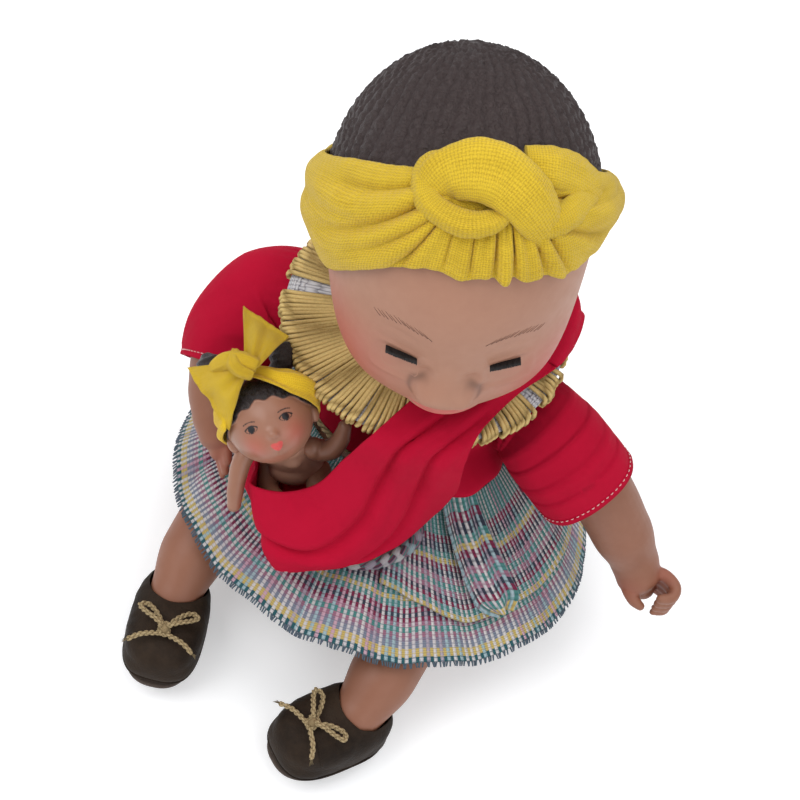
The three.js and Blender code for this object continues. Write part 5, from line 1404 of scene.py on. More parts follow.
@dataclass
class Headband:
    """A wide linen band, drawn together in a knot over the forehead.

    Angles are in degrees: turn round the head from the face, and lift above the head's middle.
    Each edge is a turn with the band's lower and upper lift. Each crease runs from one turn and
    lift to another, with its depth and width in millimetres and degrees. Each strap of the knot
    is rows of turn, lift, height over the skin, half width and half height.
    """

    head: Head
    thick: float = 1.3
    edges: tuple = (
        (-180, -46, -16), (-150, -49, -19), (-120, -40, -8), (-100, -26, 14), (-85, -19, 34), (-73, -13, 47),
        (-60, -5, 56), (-48, 12, 62), (-37, 25, 65), (-27, 32, 67), (-17, 36, 68), (0, 37, 68), (18, 36, 68),
        (35, 31, 68), (46, 26, 66), (61, 21, 60), (75, 15, 50), (86, 6, 40), (100, -12, 20), (120, -34, -4),
        (150, -46, -16), (180, -46, -16),
    )
    creases: tuple = (
        (-66, 15, -29, 57, 3.2, 3.4), (-78, 30, -36, 61, 1.8, 3.0), (-52, 20, -22, 53, 1.8, 2.6),
        (-95, 2, -60, 30, 1.2, 4.0), (-110, -18, -84, 8, 1.0, 4.5), (-34, 22, -19, 53, 2.6, 2.2),
        (-12, 26, -12, 53, 1.2, 1.6), (-1, 26, -2, 54, 1.6, 1.6), (8, 26, 9, 55, 3.0, 1.7),
        (16, 26, 17, 54, 2.8, 1.6), (33, 24, 27, 49, 2.6, 2.0), (44, 22, 34, 48, 1.8, 2.0),
        (70, 24, 42, 47, 2.4, 2.6), (82, 36, 50, 54, 2.2, 2.6), (96, 20, 66, 42, 1.4, 3.5),
        (130, -20, 100, 10, 1.0, 4.0), (170, -30, 140, -24, 0.9, 4.0), (-165, -36, -135, -26, 0.9, 4.0),
    )
    straps: tuple = (
        ((-20, 71, 3.2, 4.0, 2.6), (-36, 68.5, 3.6, 4.4, 3.0), (-42, 63, 3.4, 4.6, 3.2),
         (-35, 57.5, 4.2, 4.8, 3.4),
         (-23, 54.5, 5.6, 5.0, 3.4), (-8, 53.5, 7.2, 5.0, 3.4), (6, 55, 7.0, 4.8, 3.2),
         (15, 58.5, 5.0, 4.2, 2.6)),
        ((-33, 58, 3.0, 6.5, 2.6), (-27, 65, 5.6, 9.5, 3.8), (-8, 69, 7.6, 11.5, 4.4),
         (12, 67.5, 8.6, 12.0, 4.6),
         (24, 61.5, 8.4, 11.5, 4.4), (31, 54.5, 6.6, 10.0, 3.8), (36, 46, 3.0, 7.0, 2.6)),
        ((40, 70, 3.4, 7.0, 2.6), (58, 63, 4.4, 8.0, 3.0), (70, 52, 4.0, 8.4, 2.8), (75, 41, 3.0, 7.6, 2.2),
         (74, 32, 1.8, 5.0, 1.6)),
        ((26, 50, 3.6, 5.0, 2.4), (42, 49, 5.0, 6.0, 3.0), (56, 47.5, 4.6, 6.2, 2.8), (68, 44, 3.2, 5.4, 2.2),
         (76, 38, 1.8, 4.0, 1.4)),
    )

    def __post_init__(self) -> None:
        """Rounds the corners of the band's outline."""
        self.outline = curve_through([Vector(row) for row in self.edges], 8)

    def lifts(self, turn: float) -> tuple[float, float]:
        """Returns the band's lower and upper latitude at an angle round the head.

        Args:
            turn: The angle.

        Returns:
            Both lifts, a little ragged.
        """
        at = row_at(self.outline, turn)
        drop = sum(depth * hump(turn - place, wide) for place, wide, depth in (
            (-4, 5.5, 1.8), (12.5, 2.6, 2.2), (23, 4.0, 2.0), (39, 4.5, 1.8)))
        ragged = 0.5 * noise.noise(Vector((turn * 0.22, 0.0, 3.0)))
        return at.y - drop + ragged, at.z + ragged

    def relief(self, turn: float, lift: float, share: float) -> float:
        """Folds the cloth.

        Args:
            turn: The angle round the head.
            lift: The latitude.
            share: From -1 at the band's lower edge to 1 at its upper one.

        Returns:
            How far the cloth stands off the band's base.
        """
        rise = 2.6 * (1 - abs(share) ** 2.5)
        rise += 4.4 * (hump(turn + 92, 26) + hump(turn - 94, 26)) * (1 - 0.6 * share ** 2)
        for far_turn, far_lift, near_turn, near_lift, depth, width in self.creases:
            way = (near_turn - far_turn, near_lift - far_lift)
            long = math.hypot(*way)
            x, y = turn - far_turn, lift - far_lift
            t = (x * way[0] + y * way[1]) / long ** 2
            if -0.3 < t < 1.2:
                side = (x * way[1] - y * way[0]) / long
                spread = width * mix(1.3, 0.6, min(max(t, 0.0), 1.0))
                fade = smooth(t, -0.3, 0.3) * (1 - smooth(t, 1.02, 1.2))
                banks = hump(side - 1.8 * spread, 1.5 * spread) + hump(side + 1.8 * spread, 1.5 * spread)
                rise += 1.35 * depth * fade * (0.4 * banks - 0.8 * hump(side, spread * 0.8))
        rise += 0.6 * noise.noise(Vector((turn * 0.06, lift * 0.06, 2.0)))
        return max(rise + 0.25 * noise.noise(Vector((turn * 0.2, lift * 0.2, 7.0))), 0.0)

    def build(self) -> None:
        """Builds the band and its knot."""
        def place(u: float, v: float) -> Vector:
            """Returns a point of the band."""
            turn = 360 * u - 180
            low, high = self.lifts(turn)
            lift = mix(low, high, v)
            d = heading(turn, lift)
            share = 2 * v - 1
            under = self.head.hair_rise * (1 - self.head.hairline(d))
            edge = 0.5 * smooth(abs(share), 0.93, 1.0)
            return self.head.reach(d, under + 0.9 + self.relief(turn, lift, share) - edge)

        band = Shape().lattice(420, 64, place).thickened(self.thick)
        made = band.move(self.head.matrix).settle("band_cloth", LINEN, "head", "linen", ["headband"])
        knot = self.knot().move(self.head.matrix).settle(
            "band_knot", LINEN, "head", "linen", ["headband_knot"])

    def knot(self) -> Shape:
        """Returns the knot: a wide strap over a rolled one, and two that run out to the left."""
        shape = Shape()
        for number, rows in enumerate(self.straps):
            line = curve_through([self.head.reach(heading(*row[:2]), row[2]) for row in rows], 12)
            wide, high = [row[3] for row in rows], [row[4] for row in rows]
            since = len(shape.bm.faces)
            shape.tube(line, lambda u, angle: (straight_row(wide, u), straight_row(high, u) * (
                1 + 0.1 * math.cos(4 * angle + 2.5 * u + 2 * number) + 0.05 * math.cos(7 * angle - 3 * u))),
                48, line[len(line) // 2].normalized())
            long = sum((b - a).length for a, b in zip(line, line[1:]))
            shape.mapped(long / 340, since=since)
        return shape.swell(lambda at: 0.8 * noise.noise(at * 0.09) + 0.3 * noise.noise(at * 0.3))


@dataclass
class Collar:
    """A flat ring of cloth round the neck, wound with twine that leaves a few bare places."""

    inner: float = 27.0
    outer: float = 59.0
    height: float = 153.0
    slope: float = 0.1
    half: float = 1.5
    twine: float = 1.05
    turns: int = 152
    per_turn: int = 14
    swept: float = 359.4
    bare: tuple = ((-15, -9), (7, 13), (191, 199))

    @property
    def middle(self) -> float:
        """The radius half way across the ring."""
        return (self.inner + self.outer) / 2

    @property
    def reach(self) -> float:
        """Half the ring's width."""
        return (self.outer - self.inner) / 2 + self.half

    def at(self, turn: float, radius: float, lift: float) -> Vector:
        """Returns a point over the ring."""
        return Vector((radius * math.cos(turn), -4 + radius * math.sin(turn),
                       self.height + (self.outer - radius) * self.slope + lift))

    def build(self) -> None:
        """Builds the cloth ring and the winding."""
        def ring(u: float, v: float) -> Vector:
            """Returns a point of the cloth ring."""
            return self.at(TAU * u, self.middle + self.reach * rounded(math.cos(TAU * v), 0.4),
                           self.half * rounded(math.sin(TAU * v), 0.5))

        made = Shape().lattice(160, 28, ring).settle(
            "collar_cloth", COLLAR_CLOTH, "torso_body", "weave", ["collar"])
        rng = random.Random(3)
        line: list[Vector] = []
        wound = self.swept - sum(high - low for low, high in self.bare)
        samples = self.turns * self.per_turn
        jitter = [rng.uniform(-0.24, 0.24) for _ in range(self.turns + 2)]
        for i in range(samples):
            degrees = -90 + wound * (i / samples)
            for low, high in self.bare:
                if degrees > low:
                    degrees += high - low
            wind = TAU * i / self.per_turn
            c, s = math.cos(wind), math.sin(wind)
            number = int(i / self.per_turn)
            wobble = mix(jitter[number], jitter[number + 1], i / self.per_turn - number)
            r = self.middle + (self.reach + 1.5 + 3 * wobble * (c > 0)) * rounded(c, 0.22)
            lift = (self.half + 1.15) * rounded(s, 0.3) + 1.6 * wobble * (s > 0)
            line.append(self.at(math.radians(degrees + wobble * 3), r, lift))
        winding = Shape().tube(line, self.twine, 7)
        winding.settle("collar_twine", TWINE, "torso_body", "twine", ["collar_winding"])


@dataclass
class Torso:
    """The vinyl body under the clothes, and the neck.

    The profile's rows are shares of the half width and of the height.
    """

    height: float = 142.0
    half_width: float = 47.0
    depth_share: float = 0.78
    neck_y: float = -4.0
    neck_radius: float = 16.5
    seat_radius: float = 18.0
    profile: tuple = (
        (0.64, 0.028), (0.9, 0.1), (1, 0.21), (0.98, 0.35), (0.92, 0.53), (0.9, 0.7),
        (0.87, 0.85), (0.78, 0.94), (0.58, 1), (0.42, 1.03),
    )

    def half_at(self, z: float) -> float:
        """Returns half the body's width at a height.

        Args:
            z: The height.

        Returns:
            The half width.
        """
        rows = [(r * self.half_width, h * self.height) for r, h in self.profile]
        for low, high in zip(rows, rows[1:]):
            if z <= high[1]:
                return mix(low[0], high[0], max((z - low[1]) / (high[1] - low[1]), 0.0))
        return self.neck_radius

    def build(self) -> None:
        """Spins the body and joins its neck."""
        shape = Shape()
        outline = [(0.0, 0.0), (self.seat_radius, 0.0)]
        outline += [(r * self.half_width - 0.3, h * self.height) for r, h in self.profile]
        outline.append((0.0, self.profile[-1][1] * self.height))
        verts = [shape.bm.verts.new((r, 0, z)) for r, z in outline]
        edges = [shape.bm.edges.new(pair) for pair in zip(verts, verts[1:])]
        bmesh.ops.spin(shape.bm, geom=verts + edges, cent=(0, 0, 0), axis=(0, 0, 1), angle=TAU, steps=64,
                       use_merge=True)
        bmesh.ops.remove_doubles(shape.bm, verts=shape.bm.verts, dist=1e-3)
        bmesh.ops.scale(shape.bm, vec=(1, self.depth_share, 1), verts=shape.bm.verts)
        for side in Side:
            shape.carved(limb(Shape(), [(side.value * x, -14, 27, 20.5) for x in (33, 70)], 32, 2))
        shape.settle("body_skin", LIMB_SKIN, "torso_body", "skin", ["torso"])
        neck = Shape().tube([Vector((0, self.neck_y, 118 + 42 * t / 8)) for t in range(9)],
                            lambda u, angle: [self.neck_radius - 0.8 * smooth(u, 0.97, 1)] * 2, 48)
        neck.settle("body_neck", LIMB_SKIN, "torso_body", "skin")


@dataclass
class Arm:
    """A vinyl arm with a curled hand: rows of x, y, z and radius for the arm and for each finger."""

    side: Side
    line: Rows
    digits: Sequence[Rows]

    def build(self) -> None:
        """Fuses the arm with its fingers."""
        shape = limb(Shape(), self.line, 28, 8)
        for digit in self.digits:
            limb(shape, digit, 12, 6)
            end = digit[-1]
            shape.egg(Vector(end[:3]), [end[3] * 1.02] * 3, 2)
        shape.egg(Vector(self.line[-1][:3]), [self.line[-1][3]] * 3, 3)
        shape.fused(0.75, 5)
        shape.swell(lambda at: 0.25 * noise.noise(at * 0.06))
        joints = [Vector(digit[1][:3]) for digit in self.digits]
        shape.paint("blush", lambda at: 0.5 * max(hump((at - joint).length, 7) for joint in joints))
        shape.settle(f"arm_skin_{self.side.word}", LIMB_SKIN, f"arm_{self.side.word}_body", "skin",
                     [f"arm_{self.side.word}"])


@dataclass
class Leg:
    """A vinyl leg in a soft leather shoe that is tied with a bow."""

    side: Side
    toe_in: float
    foot_y: float
    ankle: float = 12.0
    half_width: float = 17.8
    length: float = 58.0
    height: float = 26.0
    leather: float = 1.5
    lace: float = 2.5
    middle_y: float = -15.0
    bow_y: float = -32.0
    low_share: float = 0.42
    bow_half: tuple = (
        (1.0, 0, 4.4), (5.5, 2.4, 5.4), (10.5, 5.6, 4.6), (13.2, 9, 3.4), (10, 10.8, 3.0), (5.5, 7.6, 3.0),
        (1.8, 3, 1.6), (1.8, -1.6, 0.9), (5.5, -3.4, 1.4), (10, -5, 0.8), (14.5, -8, -0.6))

    @property
    def body(self) -> str:
        """The body that the leg rides on."""
        return f"leg_{self.side.word}_body"

    @property
    def foot(self) -> Matrix:
        """The shoe's frame: its toe towards -Y and its sole at zero."""
        return placed((self.side.value * 49.5, self.foot_y, 4.8), self.toe_in, 0, -12)

    def line(self, grow: float) -> list[tuple]:
        """Returns the rows of the leg, widened by grow.

        Args:
            grow: How much wider the leg is taken.

        Returns:
            Rows of x, y, z, half width and half height.
        """
        s = self.side.value
        return [
            (s * 50, 6, 26, 7 + grow, 9 + grow), (s * 50, 0, 26, 14 + grow, 18 + grow),
            (s * 50, -14, 26.5, 16.5 + grow, 21 + grow), (s * 51, -40, 32, 19 + grow, 19 + grow),
            (s * 50.5, -66, 36.5, 17 + grow, 17 + grow),
            (s * 51.5, self.foot_y + 20, 31.5, 15.5 + grow, 15.5 + grow),
            (s * 49.5, self.foot_y, 24, self.ankle + grow, self.ankle + grow),
            (s * 47, self.foot_y - 12, 17, 8 + grow, 8 + grow),
        ]

    def loaf(self, inset: float, d: Vector) -> Vector:
        """Shapes the shoe's rounded body.

        Args:
            inset: How far inside the body's skin the point lies.
            d: Its direction.

        Returns:
            The point in the shoe's frame.
        """
        power = 2.6 + 0.7 * smooth(-d.z, 0, 0.3)
        radii = (self.half_width - inset, self.length / 2 - inset, self.height * (1 - self.low_share) - inset)
        size = sum((abs(c) / r) ** power for c, r in zip(d, radii)) ** (-1 / power)
        toe = smooth(-d.y, 0.2, 1)
        low = self.height * self.low_share
        at = Vector((d.x * size, self.middle_y + d.y * size, low + d.z * size * (1 - 0.1 * toe)))
        at.z = max(at.z, inset * 0.6)
        return at

    def top_at(self, y: float) -> float:
        """Returns the height of the shoe's top along its middle."""
        away = abs(y - self.middle_y) / (self.length / 2)
        return self.height * (self.low_share + (1 - self.low_share) * (1 - away ** 2.6) ** (1 / 2.6))

    def shell(self) -> Shape:
        """Returns the leather upper with its opening, slit and wrinkles."""
        def outer(d: Vector) -> Vector:
            """Returns a point of the upper with its wrinkles."""
            at = self.loaf(0.0, d)
            crease = 0.35 * noise.noise(Vector((at.x * 0.09, at.y * 0.22, at.z * 0.12)))
            vamp = 0.5 * hump(at.y + 24, 2.2) * smooth(at.z, 14, 24)
            return at + d * (crease - vamp - 0.1)

        shape = Shape().ball(outer, 6)
        shape.carved(Shape().ball(lambda d: self.loaf(self.leather, d), 5))
        opening = limb(Shape(), self.line(1.0), 40, 8).move(self.foot.inverted())
        shape.carved(opening)
        slit = Shape().lattice(2, 24, lambda u, v: Vector((
            math.cos(TAU * v) * (3.4 if math.sin(TAU * v) > 0 else 2.0), -7 + math.sin(TAU * v) * 10,
            self.height * (0.5 + u))), capped=True)
        return shape.carved(slit)

    def seam(self, radius: float, line: Sequence[Vector]) -> Shape:
        """Returns a raised seam along a line in the shoe's frame."""
        return Shape().tube(line, radius, 8).move(self.foot)

    def build(self) -> None:
        """Builds the leg, the shoe, the seams, the sole, the laces and the bow."""
        word = self.side.word
        leg = limb(Shape(), self.line(0.0), 40, 10)
        leg.fused(1.1, 4)
        knee = Vector((self.side.value * 50.5, -66, 52))
        leg.paint("blush", lambda at: 0.45 * hump((at - knee).length, 18))
        leg.settle(f"leg_skin_{word}", LIMB_SKIN, self.body, "skin", [f"leg_{word}"])
        # The shoe is painted paler towards its top and at its toe.
        upper = self.shell().paint("paler_top_and_toe", lambda at: smooth(at.z, 18, 25) + hump(at.y + 42, 6))
        upper.move(self.foot).settle(f"shoe_upper_{word}", LEATHER, self.body, "leather", [f"shoe_{word}"])
        around = []
        for i in range(97):
            turn = TAU * i / 96
            d = Vector((math.cos(turn) * 0.9, math.sin(turn) * 1.3, -0.42)).normalized()
            around.append(self.loaf(-0.1, d))
        self.seam(0.7, around).settle(f"shoe_welt_{word}", LEATHER, self.body, "leather")
        cap = [self.loaf(-0.1, Vector((math.sin(t), -0.9 - 0.25 * math.cos(t),
                                       math.cos(t) * 0.9)).normalized())
               for t in (math.radians(-78 + 156 * i / 40) for i in range(41))]
        self.seam(0.45, cap).settle(f"shoe_seam_{word}", LEATHER, self.body, "leather")

        def edge(u: float, v: float) -> Vector:
            """Returns a point of the sole's edge."""
            inset = 1.2 + 0.5 * abs(2 * v - 1) ** 4
            x = rounded(math.cos(TAU * u), 0.8) * (self.half_width - inset)
            y = rounded(math.sin(TAU * u), 0.8) * (self.length / 2 - inset) + self.middle_y
            return Vector((x, y, -2.5 + 2.2 * v))

        sole = Shape().lattice(72, 6, edge, capped=True)
        sole.move(self.foot).settle(f"shoe_sole_{word}", SOLE, self.body, "sole", [f"sole_{word}"])
        self.bow()

    def bow(self) -> None:
        """Builds the twine bow: two halves, each a loop and a tail, and the knot on them."""
        at = Vector((0, self.bow_y, self.top_at(self.bow_y) + 0.8))
        knot = Shape()
        wrap = [at + Vector((2.0 * math.cos(t), 2.3 * math.sin(t), 2.6 + 2.0 * math.cos(t * 0.5 + 0.6)))
                for t in (TAU * 1.6 * i / 40 for i in range(41))]
        rope(knot, resampled(wrap, 0.55), 1.1, 4.2)
        knot.egg(at + Vector((0, 0, 2.4)), (2.1, 2.0, 2.6), 3)
        tied = knot.move(self.foot).settle(
            f"lace_knot_{self.side.word}", LACE, self.body, "twine", [f"bow_{self.side.word}"])
        for way, word in ((-1, "a"), (1, "b")):
            middle = curve_through([at + Vector((way * x, y, z)) for x, y, z in self.bow_half], 8)
            line = resampled(middle, 0.55)
            half = rope(Shape(), line, self.lace / 2.16, 5.2, sides=8)
            for k in range(4):
                spread = [line[-1] + Vector((way * 0.7 * j, (0.25 * k - 0.7) * j,
                                             -0.2 * j)) for j in range(4)]
                half.tube(spread, lambda u, angle: [0.3 * (1 - 0.7 * u)] * 2, 5)
            made = half.move(self.foot).settle(f"lace_half_{self.side.word}_{word}", LACE, self.body, "twine")
            path = [self.foot @ point * MM for point in line]
            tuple(path[0])
            sum((b - a).length for a, b in zip(path, path[1:]))


LEFT_ARM = ((42, -2, 124, 14.6), (50, -2, 124, 15.5), (72, -0.5, 119, 15.5), (96, 1, 97, 15),
            (115, 2, 73, 14.2), (126.5, 2, 57, 11.5), (133, -1, 49, 10.5), (137, -2, 44, 6))
LEFT_THUMB = ((129, -3, 50, 4), (131, -8, 48, 3.6), (135.5, -11.5, 46, 3.1), (140, -12, 44, 2.3))
GRIP = [((135, 1, z, 3.4 - thin), (143, 3.5, z, 3.2 - thin), (150, 1, z - 0.5, 3 - thin),
         (151, -5, z - 0.5, 2.8 - thin), (146.5, -9, z, 2.3 - thin))
        for z, thin in ((53, 0.0), (48.6, 0.2), (44.2, 0.4), (40, 0.6))]
RIGHT_ARM = ((-42, -2, 124, 14.6), (-50, -2, 124, 15.5), (-64, -4, 120, 15.5), (-74, -15, 112, 15),
             (-77, -32, 102, 14), (-73, -45, 93, 12.5), (-67, -54, 87, 11), (-61, -61, 82, 9),
             (-58, -65, 79, 5))
RIGHT_THUMB = ((-70, -50, 92, 3.8), (-63, -50, 94, 3.2), (-58, -52, 94, 2.2))
HOLD = [((x, y, z, 3.4 - thin), (x + 5, y - 5, z - 1, 3.1 - thin), (x + 9, y - 10, z - 3, 2.3 - thin))
        for x, y, z, thin in ((-64, -54, 86, 0.0), (-61, -59, 84, 0.2), (-60, -62, 80, 0.4),
                              (-61, -62, 76, 0.6))]
HANDS = {Side.LEFT: (LEFT_ARM, (*GRIP, LEFT_THUMB)), Side.RIGHT: (RIGHT_ARM, (*HOLD, RIGHT_THUMB))}
LEGS = (Leg(Side.LEFT, -33.0, -118.0), Leg(Side.RIGHT, 17.0, -110.0))


@dataclass
class Blouse:
    """A crimson blouse with puffed sleeves.

    Its rows are a height and how far the cloth lies off the body there. A sleeve's rows are x, y,
    z and radius, from the shoulder to the hem.
    """

    torso: Torso
    rows: tuple = ((89, 5), (100, 3.8), (112, 3.2), (124, 3.2), (133, 3.2), (140, 3.4), (145, 4.8),
                   (152, 8.2))
    armhole: tuple = (-2, 124, 16.6)
    left_sleeve: tuple = ((48.2, -2, 124, 18.6), (57, -2, 123.6, 20.8), (73, -3, 114.5, 23.8),
                          (91, -2, 99, 24.2))
    right_sleeve: tuple = (
        (-48.2, -2, 124, 18.6), (-57, -2, 124, 21), (-70, -7, 118, 23), (-77, -24, 107, 21),
        (-75, -38, 98, 18.5))

    def build(self) -> None:
        """Builds the bodice and both sleeves."""
        heights = [z for z, _ in self.rows]
        eases = [ease for _, ease in self.rows]

        def place(u: float, v: float) -> Vector:
            """Returns a point of the bodice, which flares over the right hip."""
            turn = TAU * u
            z = straight_row(heights, v)
            low = 1 - v
            fold = low * (0.9 * math.cos(7 * turn) + 0.5 * math.sin(17 * turn + 3 * ring_noise(turn, 1, v)))
            off_flare = math.remainder(turn - math.radians(325), TAU)
            flare = (1 - smooth(v, 0.0, 0.14)) * 13 * hump(off_flare, math.radians(32))
            out = straight_row(eases, v) + fold + 0.4 * ring_noise(turn, 4, 5 * v) + flare
            wide = self.torso.half_at(z)
            back = min(max(v * 7 - 4, 0) * 0.33, 1) * self.torso.neck_y
            return Vector(((wide + out) * math.cos(turn),
                           (wide * self.torso.depth_share + out) * math.sin(turn) + back, z))

        cloth = Shape().lattice(220, 60, place).thickened(CLOTH_THICK)
        for side in Side:
            ends = [(side.value * x, *self.armhole) for x in (33, 110)]
            cloth.carved(limb(Shape(), ends, 40, 2))
        made = cloth.settle("blouse_cloth", RED, "torso_body", "red", ["blouse"])
        self.sleeve(Side.LEFT, self.left_sleeve)
        self.sleeve(Side.RIGHT, self.right_sleeve)

    @staticmethod
    def sleeve(side: Side, rows: Rows) -> None:
        """Builds a sleeve with a gathered head and a stitched hem.

        Args:
            side: Which arm it dresses.
            rows: The rows of x, y, z and radius from the shoulder to the hem.
        """
        line = curve_through([Vector(row[:3]) for row in rows], 12)
        radii = [row[3] for row in rows]
        count = len(line) - 1

        def place(u: float, v: float) -> Vector:
            """Returns a point of the sleeve."""
            i = min(int(u * count), count)
            forward = (line[min(i + 1, count)] - line[max(i - 1, 0)]).normalized()
            across = Vector((0, 1, 0))
            across = (across - forward * across.dot(forward)).normalized()
            up = across.cross(forward)
            turn = TAU * v
            gather = 0.55 * (1 - smooth(u, 0.0, 0.5)) * math.sin(26 * turn + 2 * ring_noise(turn, 1, 1))
            folds = 0.9 * u * math.cos(4 * turn) + 0.8 * u * ring_noise(turn, 2.2, 2.0 + u)
            r = straight_row(radii, u) + gather + folds - 0.5 * hump(u - 0.93, 0.02)
            return line[i] + across * math.cos(turn) * r + up * math.sin(turn) * r

        cloth = Shape().lattice(count, 150, place).thickened(CLOTH_THICK)
        made = cloth.settle(
            f"sleeve_cloth_{side.word}", RED, f"arm_{side.word}_body", "red", [f"sleeve_{side.word}"])
        stitches = Shape()
        stitch_count = 58
        for i in range(stitch_count):
            a, b = (place(0.955, (i + part) / stitch_count) for part in (0.0, 0.5))
            lift = [(p - line[-1]).normalized() * 0.45 for p in (a, b)]
            stitches.tube([a + lift[0] * 0.6, (a + b) / 2 + lift[0] * 1.6, b + lift[1] * 0.6], 0.22, 5)
        stitches.settle(f"sleeve_stitches_{side.word}", THREAD, f"arm_{side.word}_body", "red")


@dataclass
class Skirt:
    """A wrap skirt of striped handloom with a second cloth tied over it.

    Start and end are the places, in metres, given with the cloth for a bend with a leg; the bend is not made
    here.
    """

    torso: Torso
    waist: float = 47.5
    waist_z: float = 78.0
    hem: float = 101.0
    hem_x: float = 9.0
    hem_y: float = -12.0
    hem_z: float = 27.0
    folds: int = 14
    start: tuple = (0.0, -0.02, 0.04)
    end: tuple = (0.0, -0.075, 0.04)
    roll: tuple = (
        (11, -80, 70.2), (19, -78, 71.2), (27, -73, 72), (34, -63.5, 73), (36.5, -56, 74.4),
        (34.5, -49.5, 76),
        (30, -45, 77.5))
    tie_z: float = 82.0

    def leg_top(self, x: float, y: float) -> float:
        """Returns how high the legs reach at a place, or 0 beside them.

        Args:
            x: The place across.
            y: The place from back to front.

        Returns:
            The height.
        """
        highest = 0.0
        for leg in LEGS:
            rows = leg.line(1.0)
            for a, b in zip(rows, rows[1:]):
                f = (y - a[1]) / (b[1] - a[1])
                if f < 0 or f > 1:
                    continue
                across = abs(x - mix(a[0], b[0], f)) / mix(a[3], b[3], f)
                if across < 1:
                    top = mix(a[2], b[2], f) + math.sqrt(1 - across ** 2) * mix(a[4], b[4], f)
                    highest = max(highest, top)
        return highest

    def place(self, turn: float, share: float, rise: float = 0.0) -> Vector:
        """Returns a point of the skirt's surface.

        Args:
            turn: The angle round the body.
            share: From 0 at the waist to 1 at the hem.
            rise: How far the point lies above the lower cloth.

        Returns:
            The point, which is never below the legs.
        """
        c, s = math.cos(turn), math.sin(turn)
        wide = self.waist - 1
        waist = Vector((wide * c, wide * (self.torso.depth_share + 0.04) * s, self.waist_z))
        y = self.hem_y + self.hem * s
        hem = Vector((self.hem_x + self.hem * c, y, max(self.hem_z - 0.3 * (y - self.hem_y), 5.0)))
        at = waist.lerp(hem, share)
        power = mix(0.55, 1.2, smooth(s, -0.75, 0.2))
        fold = 2.0 * math.cos(self.folds * turn) * min(share * 1.4, 1)
        fold += 0.45 * math.sin(39 * turn + 2.0 * share) * smooth(share, 0.05, 0.4)
        fold += 0.6 * ring_noise(turn, 3, 2 * share)
        at.z = mix(waist.z, hem.z, share ** power) + fold
        at.z = max(at.z, self.leg_top(at.x, at.y) + 2.4) + rise
        at.x += c * rise * 1.3
        at.y += s * rise * 1.3
        return at

    def half(self, name: str, low: float, high: float, side: Side, replaces: Sequence[str] = ()) -> None:
        """Builds the part of the lower skirt between two angles, with its fringe.

        Args:
            name: The piece's name.
            low: The first angle in degrees.
            high: The last angle in degrees.
            side: The leg that is named with it for a bend.
            replaces: The frame nodes that it stands for.
        """
        a, b = math.radians(low), math.radians(high)
        bend = (f"leg_{side.word}_body", self.start, self.end)
        cloth = Shape().lattice(int(150 * (b - a) / math.pi), 64, lambda u, v: self.place(mix(a, b, u), v))
        cloth.mapped((b - a) / TAU, a / TAU)
        made = cloth.thickened(CLOTH_THICK).settle(name, SKIRT_CLOTH, "torso_body", "weave", replaces, bend)
        rng = random.Random(11)
        fringe = Shape()
        count = int(250 * (b - a) / math.pi)
        for i in range(count):
            turn = mix(a, b, (i + 0.5) / count)
            root = self.place(turn, 0.985)
            tip = self.place(turn + rng.uniform(-0.004, 0.004), 1.0)
            way = (tip - root).normalized()
            line = [root + way * k * 1.05 + Vector((0, 0, -0.1 * k * k)) for k in range(4)]
            fringe.tube(line, lambda u, angle: [0.52 * (1 - 0.35 * u)] * 2, 5)
        fringe.settle(f"{name}_fringe", FRINGE, "torso_body", "weave", blend=bend)

    def build(self) -> None:
        """Builds both halves, the cloth tied over them, its knot and the waist tie."""
        self.half("skirt_right", 90, 273, Side.RIGHT, ["skirt"])
        self.half("skirt_left", -93, 90, Side.LEFT)
        self.over()
        self.tie()

    def over(self) -> None:
        """Builds the shorter cloth over the lap, its rolled edge and its hanging end."""
        low, high = math.radians(-70), math.radians(165)

        def place(u: float, v: float) -> Vector:
            """Returns a point of the cloth, which is shorter at its left end."""
            reach = 0.74 * mix(0.72, 1.0, smooth(u, 0.0, 0.12))
            return self.place(mix(low, high, u), mix(0.08, 1, v) * reach, 3.0)

        cloth = Shape().lattice(190, 44, place)
        cloth.mapped((high - low) / TAU, low / TAU)
        bend = ("leg_left_body", self.start, self.end)
        cloth.thickened(CLOTH_THICK)
        made = cloth.settle("overskirt_cloth", OVER_CLOTH, "torso_body", "weave", ["overskirt"], bend)

        def end(u: float, v: float) -> Vector:
            """Returns a point of the hanging end, which curls at its sides."""
            half = mix(9.5, 6.6, v) * math.sqrt(1 - smooth(v, 0.8, 1.0) ** 2 * 0.9)
            turn = math.radians(mix(-37, -31.5, v) + (2 * u - 1) * half)
            curl = 0.9 * math.cos(3.2 * math.pi * u + 1.5 * v) + 1.4 * (2 * u - 1) ** 4
            return self.place(turn, mix(0.0, 0.72, v), 5.0 + curl + 1.2 * hump(v - 0.95, 0.1))

        tail = Shape().lattice(36, 70, end).thickened(CLOTH_THICK).settle(
            "overskirt_end", TAIL_CLOTH, "torso_body", "weave", blend=bend)
        path = curve_through([Vector(at) for at in self.roll], 8)
        roll = rope(Shape(), resampled(path, 0.9), 3.1, 15.0, plies=3, sides=14)
        rolled = roll.settle("overskirt_roll", TAIL_CLOTH, "torso_body", "weave", ["overskirt_knot"], bend)

    def tie(self) -> None:
        """Builds the twisted tie round the waist."""
        wide = self.torso.half_at(self.tie_z)
        deep = wide * self.torso.depth_share
        turns = [TAU * i / 160 for i in range(161)]
        line = [Vector(((wide + 2.4) * math.cos(a), (deep + 2.4) * math.sin(a), self.tie_z)) for a in turns]
        shape = rope(Shape(), resampled(line, 1.2), 1.7, 7.0)
        shape.settle("waist_rope", LACE, "torso_body", "twine", ["waist_tie"])


